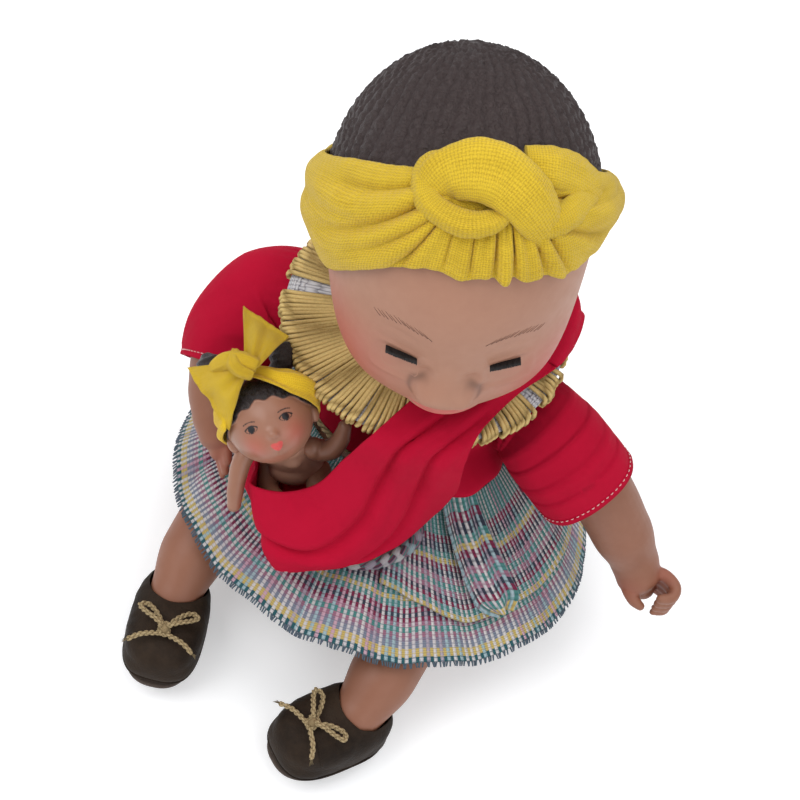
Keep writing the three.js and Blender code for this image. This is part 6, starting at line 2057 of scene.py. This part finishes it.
@dataclass
class Sling:
    """A long crimson cloth over the left shoulder that carries the baby.

    Its rows lie across the cloth, each of seven points, from the shoulder round the front and back
    to the shoulder.
    """

    rows: tuple = (
        ((30, 0, 162.5), (36, 0, 163.5), (42, 0, 164), (48, 0, 164), (54, 0, 163), (60, 0, 160.5),
         (64.5, 0, 155)),
        ((22, -24, 162.5), (29, -24, 163), (36, -23, 163.5), (42, -22, 163.5), (49, -21, 162.5),
         (57.5, -20.5, 160.5), (64.5, -19, 156.5)),
        ((14, -47, 160), (21, -49, 161), (28, -50, 161.5), (34, -49, 161.5), (41, -47, 161),
         (47, -44, 159.5), (53, -41, 155)),
        ((7, -69, 156.4), (13, -69, 155), (20, -68, 153.5), (27, -66, 151.5), (34, -63, 149.4),
         (42, -58.2, 146.4), (49, -51.5, 142.3)),
        ((0, -73, 137), (8, -72, 133), (16, -70, 128), (24, -66, 123), (32, -61, 119), (39, -55, 115),
         (45, -47, 111)),
        ((-7, -79, 118), (3, -81, 110), (13, -80, 102), (22, -75, 95), (30, -68, 90), (36, -58, 86),
         (38, -48, 86)),
        ((-19, -86, 110), (-9, -92, 101), (1, -95, 92), (10, -93, 85), (18, -86, 80), (23, -75, 78),
         (25, -63, 79)),
        ((-33, -87, 105), (-27, -93, 98), (-19, -98, 91), (-11, -100, 84.5), (-4, -99, 78.5), (0, -91, 75.5),
         (4, -80, 75)),
        ((-36, -75, 100), (-34, -80, 92.5), (-30.5, -85, 85), (-24, -86, 78.5), (-16, -82, 74.5),
         (-8, -75, 73), (0, -67, 74)),
        ((-46, -60, 99), (-48, -64, 92.5), (-47, -67, 84.5), (-40, -67, 77), (-31, -62, 74), (-21, -55, 74),
         (-11, -48, 77.5)),
        ((-50, -38, 99), (-51, -39, 96), (-51, -40, 92.5), (-50, -41, 89), (-47, -42, 85.5),
         (-42, -42.5, 83), (-36, -42, 83)),
        ((-52, -8, 99.5), (-52.7, -8, 97), (-53, -8, 94.5), (-53, -8, 92), (-53, -8, 89.5), (-53, -8, 87),
         (-53, -8, 84.5)),
        ((-43, 26, 114), (-43.7, 26, 110.5), (-44, 26, 107), (-44, 26, 103.5), (-44, 26, 100),
         (-44, 26, 96.5), (-44, 26, 93)),
        ((-19, 43, 128), (-18, 43.5, 124), (-17, 44, 120), (-16, 44, 116), (-15, 44, 112), (-14, 44, 108),
         (-13, 44, 104)),
        ((8, 53, 142), (10, 52, 137.5), (12, 51, 133), (14, 50, 129), (16, 49, 125), (18, 48, 121),
         (20, 47, 117)),
        ((20, 60, 156), (25, 60, 153), (30, 59, 150), (35, 57, 147), (39, 55, 144), (43, 53, 140),
         (47, 50, 136)),
        ((22, 40, 161.5), (29, 41, 162), (36, 42, 161.5), (42, 42, 160.5), (48, 42, 158.5), (53, 41, 155.5),
         (57, 40, 151)),
        ((26, 20, 162.5), (33, 20, 163.5), (40, 20, 163.5), (46, 20, 163), (52, 20, 161.5), (58, 20, 159),
         (63, 20, 154)),
    )
    gathered: float = 0.3

    def at(self, u: float, v: float) -> Vector:
        """Returns a smooth point of the loop: u runs along it, v across it.

        Args:
            u: The share along it; it closes at 1.
            v: The share across it, from the neck outwards.

        Returns:
            The point.
        """
        count, columns = len(self.rows), len(self.rows[0])
        k, f = divmod((u % 1.0) * count, 1.0)
        j = min(int(v * (columns - 1)), columns - 2)
        near = []
        for column in (min(max(j + n, 0), columns - 1) for n in (-1, 0, 1, 2)):
            near.append(spline([Vector(self.rows[(int(k) + n) % count][column]) for n in (-1, 0, 1, 2)], f))
        if j == 0:
            near[0] = near[1] * 2 - near[2]
        if j == columns - 2:
            near[3] = near[2] * 2 - near[1]
        return spline(near, v * (columns - 1) - j)

    def build(self) -> None:
        """Builds the cloth with its long folds and its pointed corner."""
        def place(u: float, v: float) -> Vector:
            """Returns a point of the folded cloth."""
            v *= 1 - self.gathered * hump(math.remainder(u - 0.06, 1.0), 0.1)
            at = self.at(u, v)
            along = self.at(u + 0.004, v) - self.at(u - 0.004, v)
            across = self.at(u, min(v + 0.02, 1)) - self.at(u, max(v - 0.02, 0))
            normal = along.cross(across).normalized()
            front = smooth(u, 0.06, 0.16) * (1 - smooth(u, 0.47, 0.56))
            deep = -4.2 * hump(v - mix(0.3, 0.42, u * 2), 0.04) - 3.6 * hump(v - mix(0.62, 0.7, u * 2), 0.036)
            crest = 1.1 * hump(v - mix(0.42, 0.52, u * 2), 0.06) + 1.0 * hump(v - mix(0.74, 0.8, u * 2), 0.05)
            soft = 0.7 * noise.noise(Vector((u * 26, v * 3.2, 1.0)))
            soft += 0.35 * noise.noise(Vector((u * 60, v * 7, 4.0)))
            gathers = 0.8 * (1 - front) * math.cos(v * TAU * 3.5 + 2 * u)
            point = 5.0 * hump(u - 0.402, 0.022) * hump(v - 0.66, 0.2)
            at += Vector((-0.1, -0.72, -0.68)) * point
            return at + normal * self.outward(u) * (front * (deep + crest) * 0.8 + soft + gathers)

        cloth = Shape().lattice(300, 60, place).thickened(1.0)
        made = cloth.settle("sling_cloth", RED, "torso_body", "red", ["sling"])

    def outward(self, u: float) -> float:
        """Returns 1 or -1: the way the surface's normal has to go to face away from the doll.

        Args:
            u: The share along the loop.

        Returns:
            1 or -1, for the normal as it comes.
        """
        a = self.at(u + 0.004, 0.5) - self.at(u - 0.004, 0.5)
        b = self.at(u, 0.55) - self.at(u, 0.45)
        out = self.at(u, 0.5) - Vector((0, -2, 100))
        return 1.0 if a.cross(b).dot(out) > 0 else -1.0


@dataclass
class Baby:
    """The baby doll in the sling: painted vinyl head, bare body and a knotted wrap.

    The wrap's hem is rows of turn and lift in degrees. Arms and legs have the left one first, each
    as rows of x, y, z and radius in the doll's frame.
    """

    head_radius: float = 18.5
    head_middle: tuple = (-35.4, -74.5, 138)
    eye_x: float = 0.41
    back: Vector = field(default_factory=lambda: Vector((-0.2, -0.335, 0.92)).normalized())
    neck: Vector = field(default_factory=lambda: Vector((-31.62, -68.17, 120.63)))
    middle: Vector = field(default_factory=lambda: Vector((-27.42, -61.13, 101.29)))
    torso_length: float = 42.0
    torso_radius: float = 14.0
    hem: tuple = (
        (-180, -14), (-150, -14), (-120, -12), (-90, -4), (-70, 1), (-54, 5), (-50, 26), (-40, 42), (-24, 56),
        (-6, 52), (20, 33), (38, 14), (64, -2), (90, -12), (120, -14), (150, -14), (180, -14))
    swellings: tuple = (
        (0, -0.8, -0.6, 0.08, 0.42), (0, -0.97, -0.22, 0.085, 0.075), (0.42, -0.8, -0.38, 0.045, 0.2),
        (-0.42, -0.8, -0.38, 0.045, 0.2), (0.07, -0.96, -0.27, 0.035, 0.05),
        (-0.07, -0.96, -0.27, 0.035, 0.05),
        (0, -0.86, -0.46, 0.055, 0.075), (0, -0.84, -0.52, 0.05, 0.07), (0, -0.76, -0.66, 0.05, 0.12),
        (0.4, -0.91, 0.0, -0.05, 0.13), (-0.4, -0.91, 0.0, -0.05, 0.13),
        (0.41, -0.91, 0.0, 0.035, 0.075), (-0.41, -0.91, 0.0, 0.035, 0.075),
    )
    arms: tuple = (
        ((-15, -62, 114.5, 4.8), (-10, -61, 118, 4.6), (-8, -58, 124, 4), (-8.5, -55, 129, 3)),
        ((-42, -74, 108.5, 4.6), (-41.5, -81, 104, 4.2), (-39, -88, 96, 3.7), (-37, -91.5, 90, 3)),
    )
    legs: tuple = (
        ((-12, -62, 91, 5.4), (-6, -67, 91.5, 5.2), (1, -73, 93, 4.6), (5, -78, 97, 3.4)),
        ((-32, -68.2, 85, 5), (-29, -74.5, 86, 4.6), (-23.5, -78.5, 89.5, 4.1), (-18.5, -81, 93.5, 3.1)),
    )

    @property
    def body(self) -> Matrix:
        """The body's frame, with its head end at Z."""
        return frame_from(self.middle, self.back, Vector((0.15, -1, 0)))

    @property
    def head(self) -> Matrix:
        """The head's frame, with the face towards -Y."""
        return frame_from(self.head_middle, Vector((-0.722, 0.43, 0.5)).normalized(),
                          Vector((0.19, -0.57, 0.77)))

    @property
    def wrap(self) -> Matrix:
        """The frame of the head wrap, whose knot sits over the forehead."""
        up = Vector((-0.762, 0.54, 0.356)).normalized()
        return frame_from(self.head_middle, up, Vector((0.061, -0.489, 0.87)))

    def skull(self, d: Vector) -> Vector:
        """Returns a point of the head in a direction, with its small features.

        Args:
            d: The direction from the head's middle.

        Returns:
            The point in the head's frame.
        """
        size = self.head_radius * (1 + bulges(d, self.swellings))
        size -= 0.5 * hump(d.z + 0.49, 0.018) * hump(d.x, 0.13) * (d.y < 0)
        hair = self.hair(d)
        if hair > 0.02:
            strokes = 0.2 * math.sin(26 * math.atan2(d.x, d.z) + 8 * d.y)
            size += hair * (0.7 + 0.35 * noise.noise(d * 13) + strokes)
        return Vector((d.x * 0.98, d.y * 1.02, d.z * 0.97)) * size

    @staticmethod
    def hair(d: Vector) -> float:
        """Returns how far a direction lies in the painted hair, from 0 to 1."""
        fringe = 0.05 * math.sin(16 * d.x) * (d.y < 0)
        return smooth(d.z + 0.62 * d.y + 0.2 * abs(d.x) + fringe, 0.0, 0.1)

    def build(self) -> None:
        """Builds the head, wrap, body and limbs."""
        self.build_head()
        self.build_wrap()
        self.build_body()

    def build_head(self) -> None:
        """Builds the head with painted eyes, lips, cheeks and hair, the ears and the buns."""
        shape = Shape()
        bmesh.ops.create_icosphere(shape.bm, subdivisions=7, radius=1.0)
        tones = {name: shape.bm.verts.layers.float.new(name) for name in ("blush", "lips", "hair", "ink_and_shade")}
        for vert in shape.bm.verts:
            d = vert.co.normalized()
            vert.co = self.skull(d)
            x = abs(d.x)
            cheek = (Vector((0.45, -0.78, -0.4)).normalized() - Vector((x, d.y, d.z))).length
            mouth = eye = pupil = brow = 9.0
            if d.y < 0:
                mouth = math.hypot(x / 0.135, (d.z + 0.49 - 0.25 * x) / 0.075)
                across = (x - self.eye_x) / 0.14
                eye = math.hypot(across, d.z / (0.085 * (1 - 0.25 * abs(across))))
                pupil = math.hypot(x - self.eye_x, d.z - 0.005)
                if 0.27 < x < 0.57:
                    brow = abs(d.z - 0.175 + 1.6 * (x - self.eye_x) ** 2)
            line = abs(eye - 1.02) if d.z > 0.0 else abs(eye - 1.02) * 2.5
            vert[tones["blush"]] = 0.5 * hump(cheek, 0.3)
            vert[tones["lips"]] = 1 - smooth(mouth, 0.85, 1.05)
            vert[tones["hair"]] = smooth(self.hair(d), 0.3, 0.7)
            vert[tones["ink_and_shade"]] = max(1 - smooth(pupil, 0.075, 0.09), 1 - smooth(line, 0.12, 0.24),
                                     0.9 * (1 - smooth(brow, 0.008, 0.018)))
        for side in Side:
            shape.egg(Vector((side.value * 17.8, 1, -4)), (2.4, 3.0, 4.2), 4)
        shape.move(self.head).settle(
            "baby_skin_head", BABY_SKIN, "baby_head_body", "baby_skin", ["baby_head"])
        hair = Shape()
        for side in Side:
            s = side.value
            low = 6.0 if side is Side.LEFT else 0.0
            rows = [(s * 8, 2, 15, 4.0, 4.0), (s * 12, 0.5, 24 - low, 4.6, 4.6),
                    (s * 14.5, -0.8, 29 - low, 5.4, 5.4),
                    (s * 15, -1.1, 32.5 - low, 4.8, 4.8), (s * 15.2, -1.2, 35 - low, 1.5, 1.5)]
            limb(hair, rows, 30, 6, Vector((0, 1, 0)))
        hair.swell(lambda at: 0.35 * noise.noise(at * 0.5) + 0.25 * math.sin(at.z * 2.2))
        hair.paint("hair", lambda at: 1.0)
        hair.move(self.wrap).settle("baby_buns", BABY_SKIN, "baby_head_body", "baby_skin")
        neck = Shape().tube([self.neck + self.back * (k * 0.9 - 1.2) for k in range(9)],
                            lambda u, angle: [5.4 - 0.5 * hump(u - 0.4, 0.3)] * 2, 24)
        neck.settle("baby_neck", BABY_SKIN, "baby_head_body", "baby_skin")

    def out(self, d: Vector, extra: float) -> Vector:
        """Returns a point outside the head in a direction."""
        r = self.head_radius
        return Vector((d.x * (r * 0.98 + extra), d.y * (r * 1.02 + extra), d.z * (r * 0.97 + extra)))

    def build_wrap(self) -> None:
        """Builds the wrap round the head, its knot and its two crumpled ends."""
        low = curve_through([Vector((row[0], row[1], 0)) for row in self.hem], 6)

        def place(u: float, v: float) -> Vector:
            """Returns a point of the band."""
            turn = 360 * u - 180
            hem = row_at(low, turn).y
            d = heading(turn, mix(hem, min(hem + 46, 84), v))
            share = 2 * v - 1
            fold = 0.9 * math.cos(6.5 * share + 1.2 * math.sin(math.radians(turn)))
            fold += 0.7 * noise.noise(d * 3.4)
            puff = 2.6 * hump(turn - 62, 34) * (1 - share ** 2) + 1.6 * hump(turn, 24)
            return self.out(d, 2.4 + 1.6 * (1 - share * share) + fold + puff)

        band = Shape().lattice(140, 30, place).thickened(CLOTH_THICK)
        made = band.move(self.wrap).settle(
            "baby_wrap_band", WRAP_LINEN, "baby_head_body", "linen", ["baby_wrap"])
        ends = Shape()
        for near, far, belly in (
                (((-1, -20.5, 21), (4, -21, 19)), ((7.6, -13.5, 46), (20.5, -16, 27)), 4.2),
                (((-1, -19.5, 25), (-1.5, -22, 18)), ((-23.4, -11.5, 31), (-16.5, -12.5, 0.3)), 4.6)):
            ends.lattice(34, 30, self.flag(near, far, belly))
        ends.thickened(0.8)
        for path, wide in ((((-12.5, -17, 26), (-7, -21, 26.5), (-1, -23.5, 24), (4.5, -23, 19.5)), 3.9),
                           (((-2, -21, 28), (-4, -24.5, 24), (-2.5, -25, 20), (1, -23.5, 16.5)), 3.0)):
            line = curve_through([Vector(at) for at in path], 9)
            ends.tube(line, lambda u, angle, wide=wide: (
                wide * (0.7 + 0.3 * math.sin(math.pi * u)) * (1 + 0.1 * math.cos(5 * angle + 3 * u)),
                2.5 * (1 + 0.1 * math.cos(6 * angle))), 30, Vector((0, -1, 0.2)))
        knot = ends.move(self.wrap).settle(
            "baby_wrap_ends", WRAP_LINEN, "baby_head_body", "linen", ["baby_wrap_knot"])

    @staticmethod
    def flag(near: Sequence, far: Sequence, belly: float) -> Callable[[float, float], Vector]:
        """Crumples a cloth end between two edges, each of two points.

        Args:
            near: The edge at the knot.
            far: The free edge.
            belly: How far it bulges.

        Returns:
            The end's surface.
        """
        a, b, c, d = (Vector(at) for at in (*near, *far))
        normal = (c - a).cross(d - b).normalized()
        if normal.y > 0:
            normal.negate()

        def place(u: float, v: float) -> Vector:
            """Returns a point of the end."""
            at = a.lerp(b, v).lerp(c.lerp(d, v), u)
            full = belly * math.sin(math.pi * min(u * 1.1, 1.0)) * (0.4 + 0.6 * math.sin(math.pi * v))
            pleat = 1.1 * (1 - 0.6 * u) * math.cos(math.pi * (4.4 * v + 0.6 * u))
            pleat += 1.2 * noise.noise(at * 0.16)
            ragged = 0.5 * noise.noise(Vector((v * 9, 0.0, u * 2))) * smooth(u, 0.7, 1.0)
            return at + normal * (full + pleat) + (c - a).normalized() * ragged

        return place

    def build_body(self) -> None:
        """Builds the soft-edged body and the four limbs."""
        half, r = self.torso_length / 2, self.torso_radius
        rows = [(0, 0, half * z, r * wide, r * deep) for z, wide, deep in (
            (1.0 / half - 1.0, 0.5, 0.42), (-0.75, 0.9, 0.76), (-0.4, 0.94, 0.8), (0, 0.86, 0.73),
            (0.4, 0.84, 0.71), (0.7, 0.8, 0.66), (0.92, 0.5, 0.42), (1.0, 0.4, 0.34))]
        body = limb(Shape(), rows, 32, 6, Vector((0, 1, 0)))
        body.egg(Vector((0, -r * 0.62, -half * 0.35)), (r * 0.62, r * 0.3, r * 0.6), 3)
        for side in Side:
            breast = Vector((side.value * r * 0.32, -r * 0.45, half * 0.42))
            body.egg(breast, (r * 0.36, r * 0.28, r * 0.32), 3)
        body.fused(0.6, 5).move(self.body)
        body.settle("baby_skin_torso", BABY_BODY_PAINTED_LIGHT, "baby_body", "baby_skin", ["baby_torso"])
        for side, arm, leg in zip(Side, self.arms, self.legs):
            self.build_limb("arm", side, (10.9, 0, 12), arm, 4.8)
            self.build_limb("leg", side, (8.3, -2, -14), leg, 5.2)

    def build_limb(self, kind: str, side: Side, joint: Sequence[float], rows: Rows, thick: float) -> None:
        """Builds one small limb with a curled hand or a foot.

        Args:
            kind: Either arm or leg.
            side: Which side it is on.
            joint: The joint in the body's frame.
            rows: The limb's rows of x, y, z and radius in the doll's frame.
            thick: The radius at its root.
        """
        root = self.body @ Vector((side.value * (joint[0] + thick * 0.5), joint[1], joint[2]))
        line = [(*root, thick)] + [tuple(row) for row in rows]
        shape = limb(Shape(), line, 22, 7, None)
        shape.egg(root, [thick * 1.02] * 3, 3)
        end, before = Vector(rows[-1][:3]), Vector(rows[-2][:3])
        way = (end - before).normalized()
        across = way.orthogonal().normalized()
        shape.egg(end, [rows[-1][3] * 1.05] * 3, 3)
        for k in range(4):
            if kind == "arm":
                turn = across * math.cos(k * 0.5) + way.cross(across) * math.sin(k * 0.5)
                base = end + turn * (k - 1.5) * 1.25
                tip = base + way * 3.0 + across * 1.4
                limb(shape, [(*base, 1.15), (*(base + way * 1.8), 1.1), (*tip, 0.8)], 8, 3, None)
        shape.fused(0.42, 4)
        shape.settle(f"baby_skin_{kind}_{side.word}", BABY_SKIN, f"baby_{kind}_{side.word}_body", "baby_skin",
                     [f"baby_{kind}_{side.word}"])


@dataclass
class Inner:
    """The pieces inside the head and neck, which keep the frame's own solids."""

    finishes: tuple = (("neck_plug", "plastic", PLASTIC), ("eye_frame", "plastic", PLASTIC),
                       ("eye_axle", "steel", STEEL),
                       ("eye_weight", "steel", STEEL))

    def build(self) -> None:
        """Gives each its finish."""
        for name, slot, finish in self.finishes:
            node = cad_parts[name]
            node.data.materials.clear()
            node.data.materials.append(finish.material())
            LOG.info("%s: kept from the frame", name)


@dataclass
class Studio:
    """A pale floor, soft lights and the camera of the photograph, whose place and axes are in metres.

    Each lamp has its name, place, aim, size and power.
    """

    place: tuple = (0.0973, -0.4701, 0.7863)
    right: tuple = (0.8788, 0.4441, 0.1746)
    up: tuple = (-0.4629, 0.7049, 0.5373)
    back: tuple = (0.1155, -0.5530, 0.8251)
    lens: float = 83.5
    sensor: float = 36.0
    floor: float = 6000.0
    lamps: tuple = (
        ("key", (-0.9, -0.7, 1.5), (0, -0.03, 0.1), 1.1, 13.0),
        ("fill", (1.2, -0.9, 1.0), (0, -0.03, 0.1), 1.4, 8.0),
        ("top", (0.1, 0.5, 1.7), (0, 0, 0.1), 1.6, 11.0),
    )

    def build(self) -> None:
        """Builds the floor, the lights, the world and the camera."""
        floor = Shape().lattice(4, 4, lambda u,
                                v: Vector(((u - 0.5) * self.floor, (v - 0.5) * self.floor, -0.3)))
        floor.linked("floor", PAPER)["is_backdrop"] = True
        for name, place, aim, size, power in self.lamps:
            light = bpy.data.lights.new(name, "AREA")
            light.size = size
            light.energy = power
            lamp = add_object(name, light)
            lamp.location = place
            lamp.rotation_euler = (Vector(place) - Vector(aim)).to_track_quat("Z", "Y").to_euler()
            lamp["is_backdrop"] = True
        self.world()
        self.camera()

    @staticmethod
    def world() -> None:
        """Sets a plain white surrounding."""
        made = bpy.data.worlds.new("studio")
        bpy.context.scene.world = made
        made.use_nodes = True
        made.node_tree.nodes.clear()
        n = Nodes(made.node_tree)
        shade = n.node("ShaderNodeBackground", Color=(0.94, 0.96, 1.0), Strength=0.66)
        n.node("ShaderNodeOutputWorld", Surface=shade.outputs[0])

    def camera(self) -> None:
        """Places the camera."""
        data = bpy.data.cameras.new("photo")
        data.lens = self.lens
        data.sensor_width = self.sensor
        made = add_object("photo", data)
        turn = Matrix((self.right, self.up, self.back)).transposed().to_4x4()
        made.matrix_world = Matrix.Translation(self.place) @ turn
        bpy.context.scene.camera = made
        bpy.context.scene.view_settings.view_transform = "Standard"


def plain(box: Sequence[Vector]) -> list[list[float]]:
    """Returns two corners as plain lists."""
    return [[float(c) for c in corner] for corner in box]


def main() -> None:
    """Builds the doll over its frame."""
    logging.basicConfig(level=logging.INFO, format="%(name)s %(message)s")
    torso = Torso()
    torso.build()
    Head().build()
    Collar().build()
    for side in Side:
        Arm(side, *HANDS[side]).build()
    for leg in LEGS:
        leg.build()
    Blouse(torso).build()
    Skirt(torso).build()
    Sling().build()
    Baby().build()
    Inner().build()
    Studio().build()
    {"cad": plain(CAD_BOX), "scene": plain(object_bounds())}


if __name__ == "__main__":
    main()
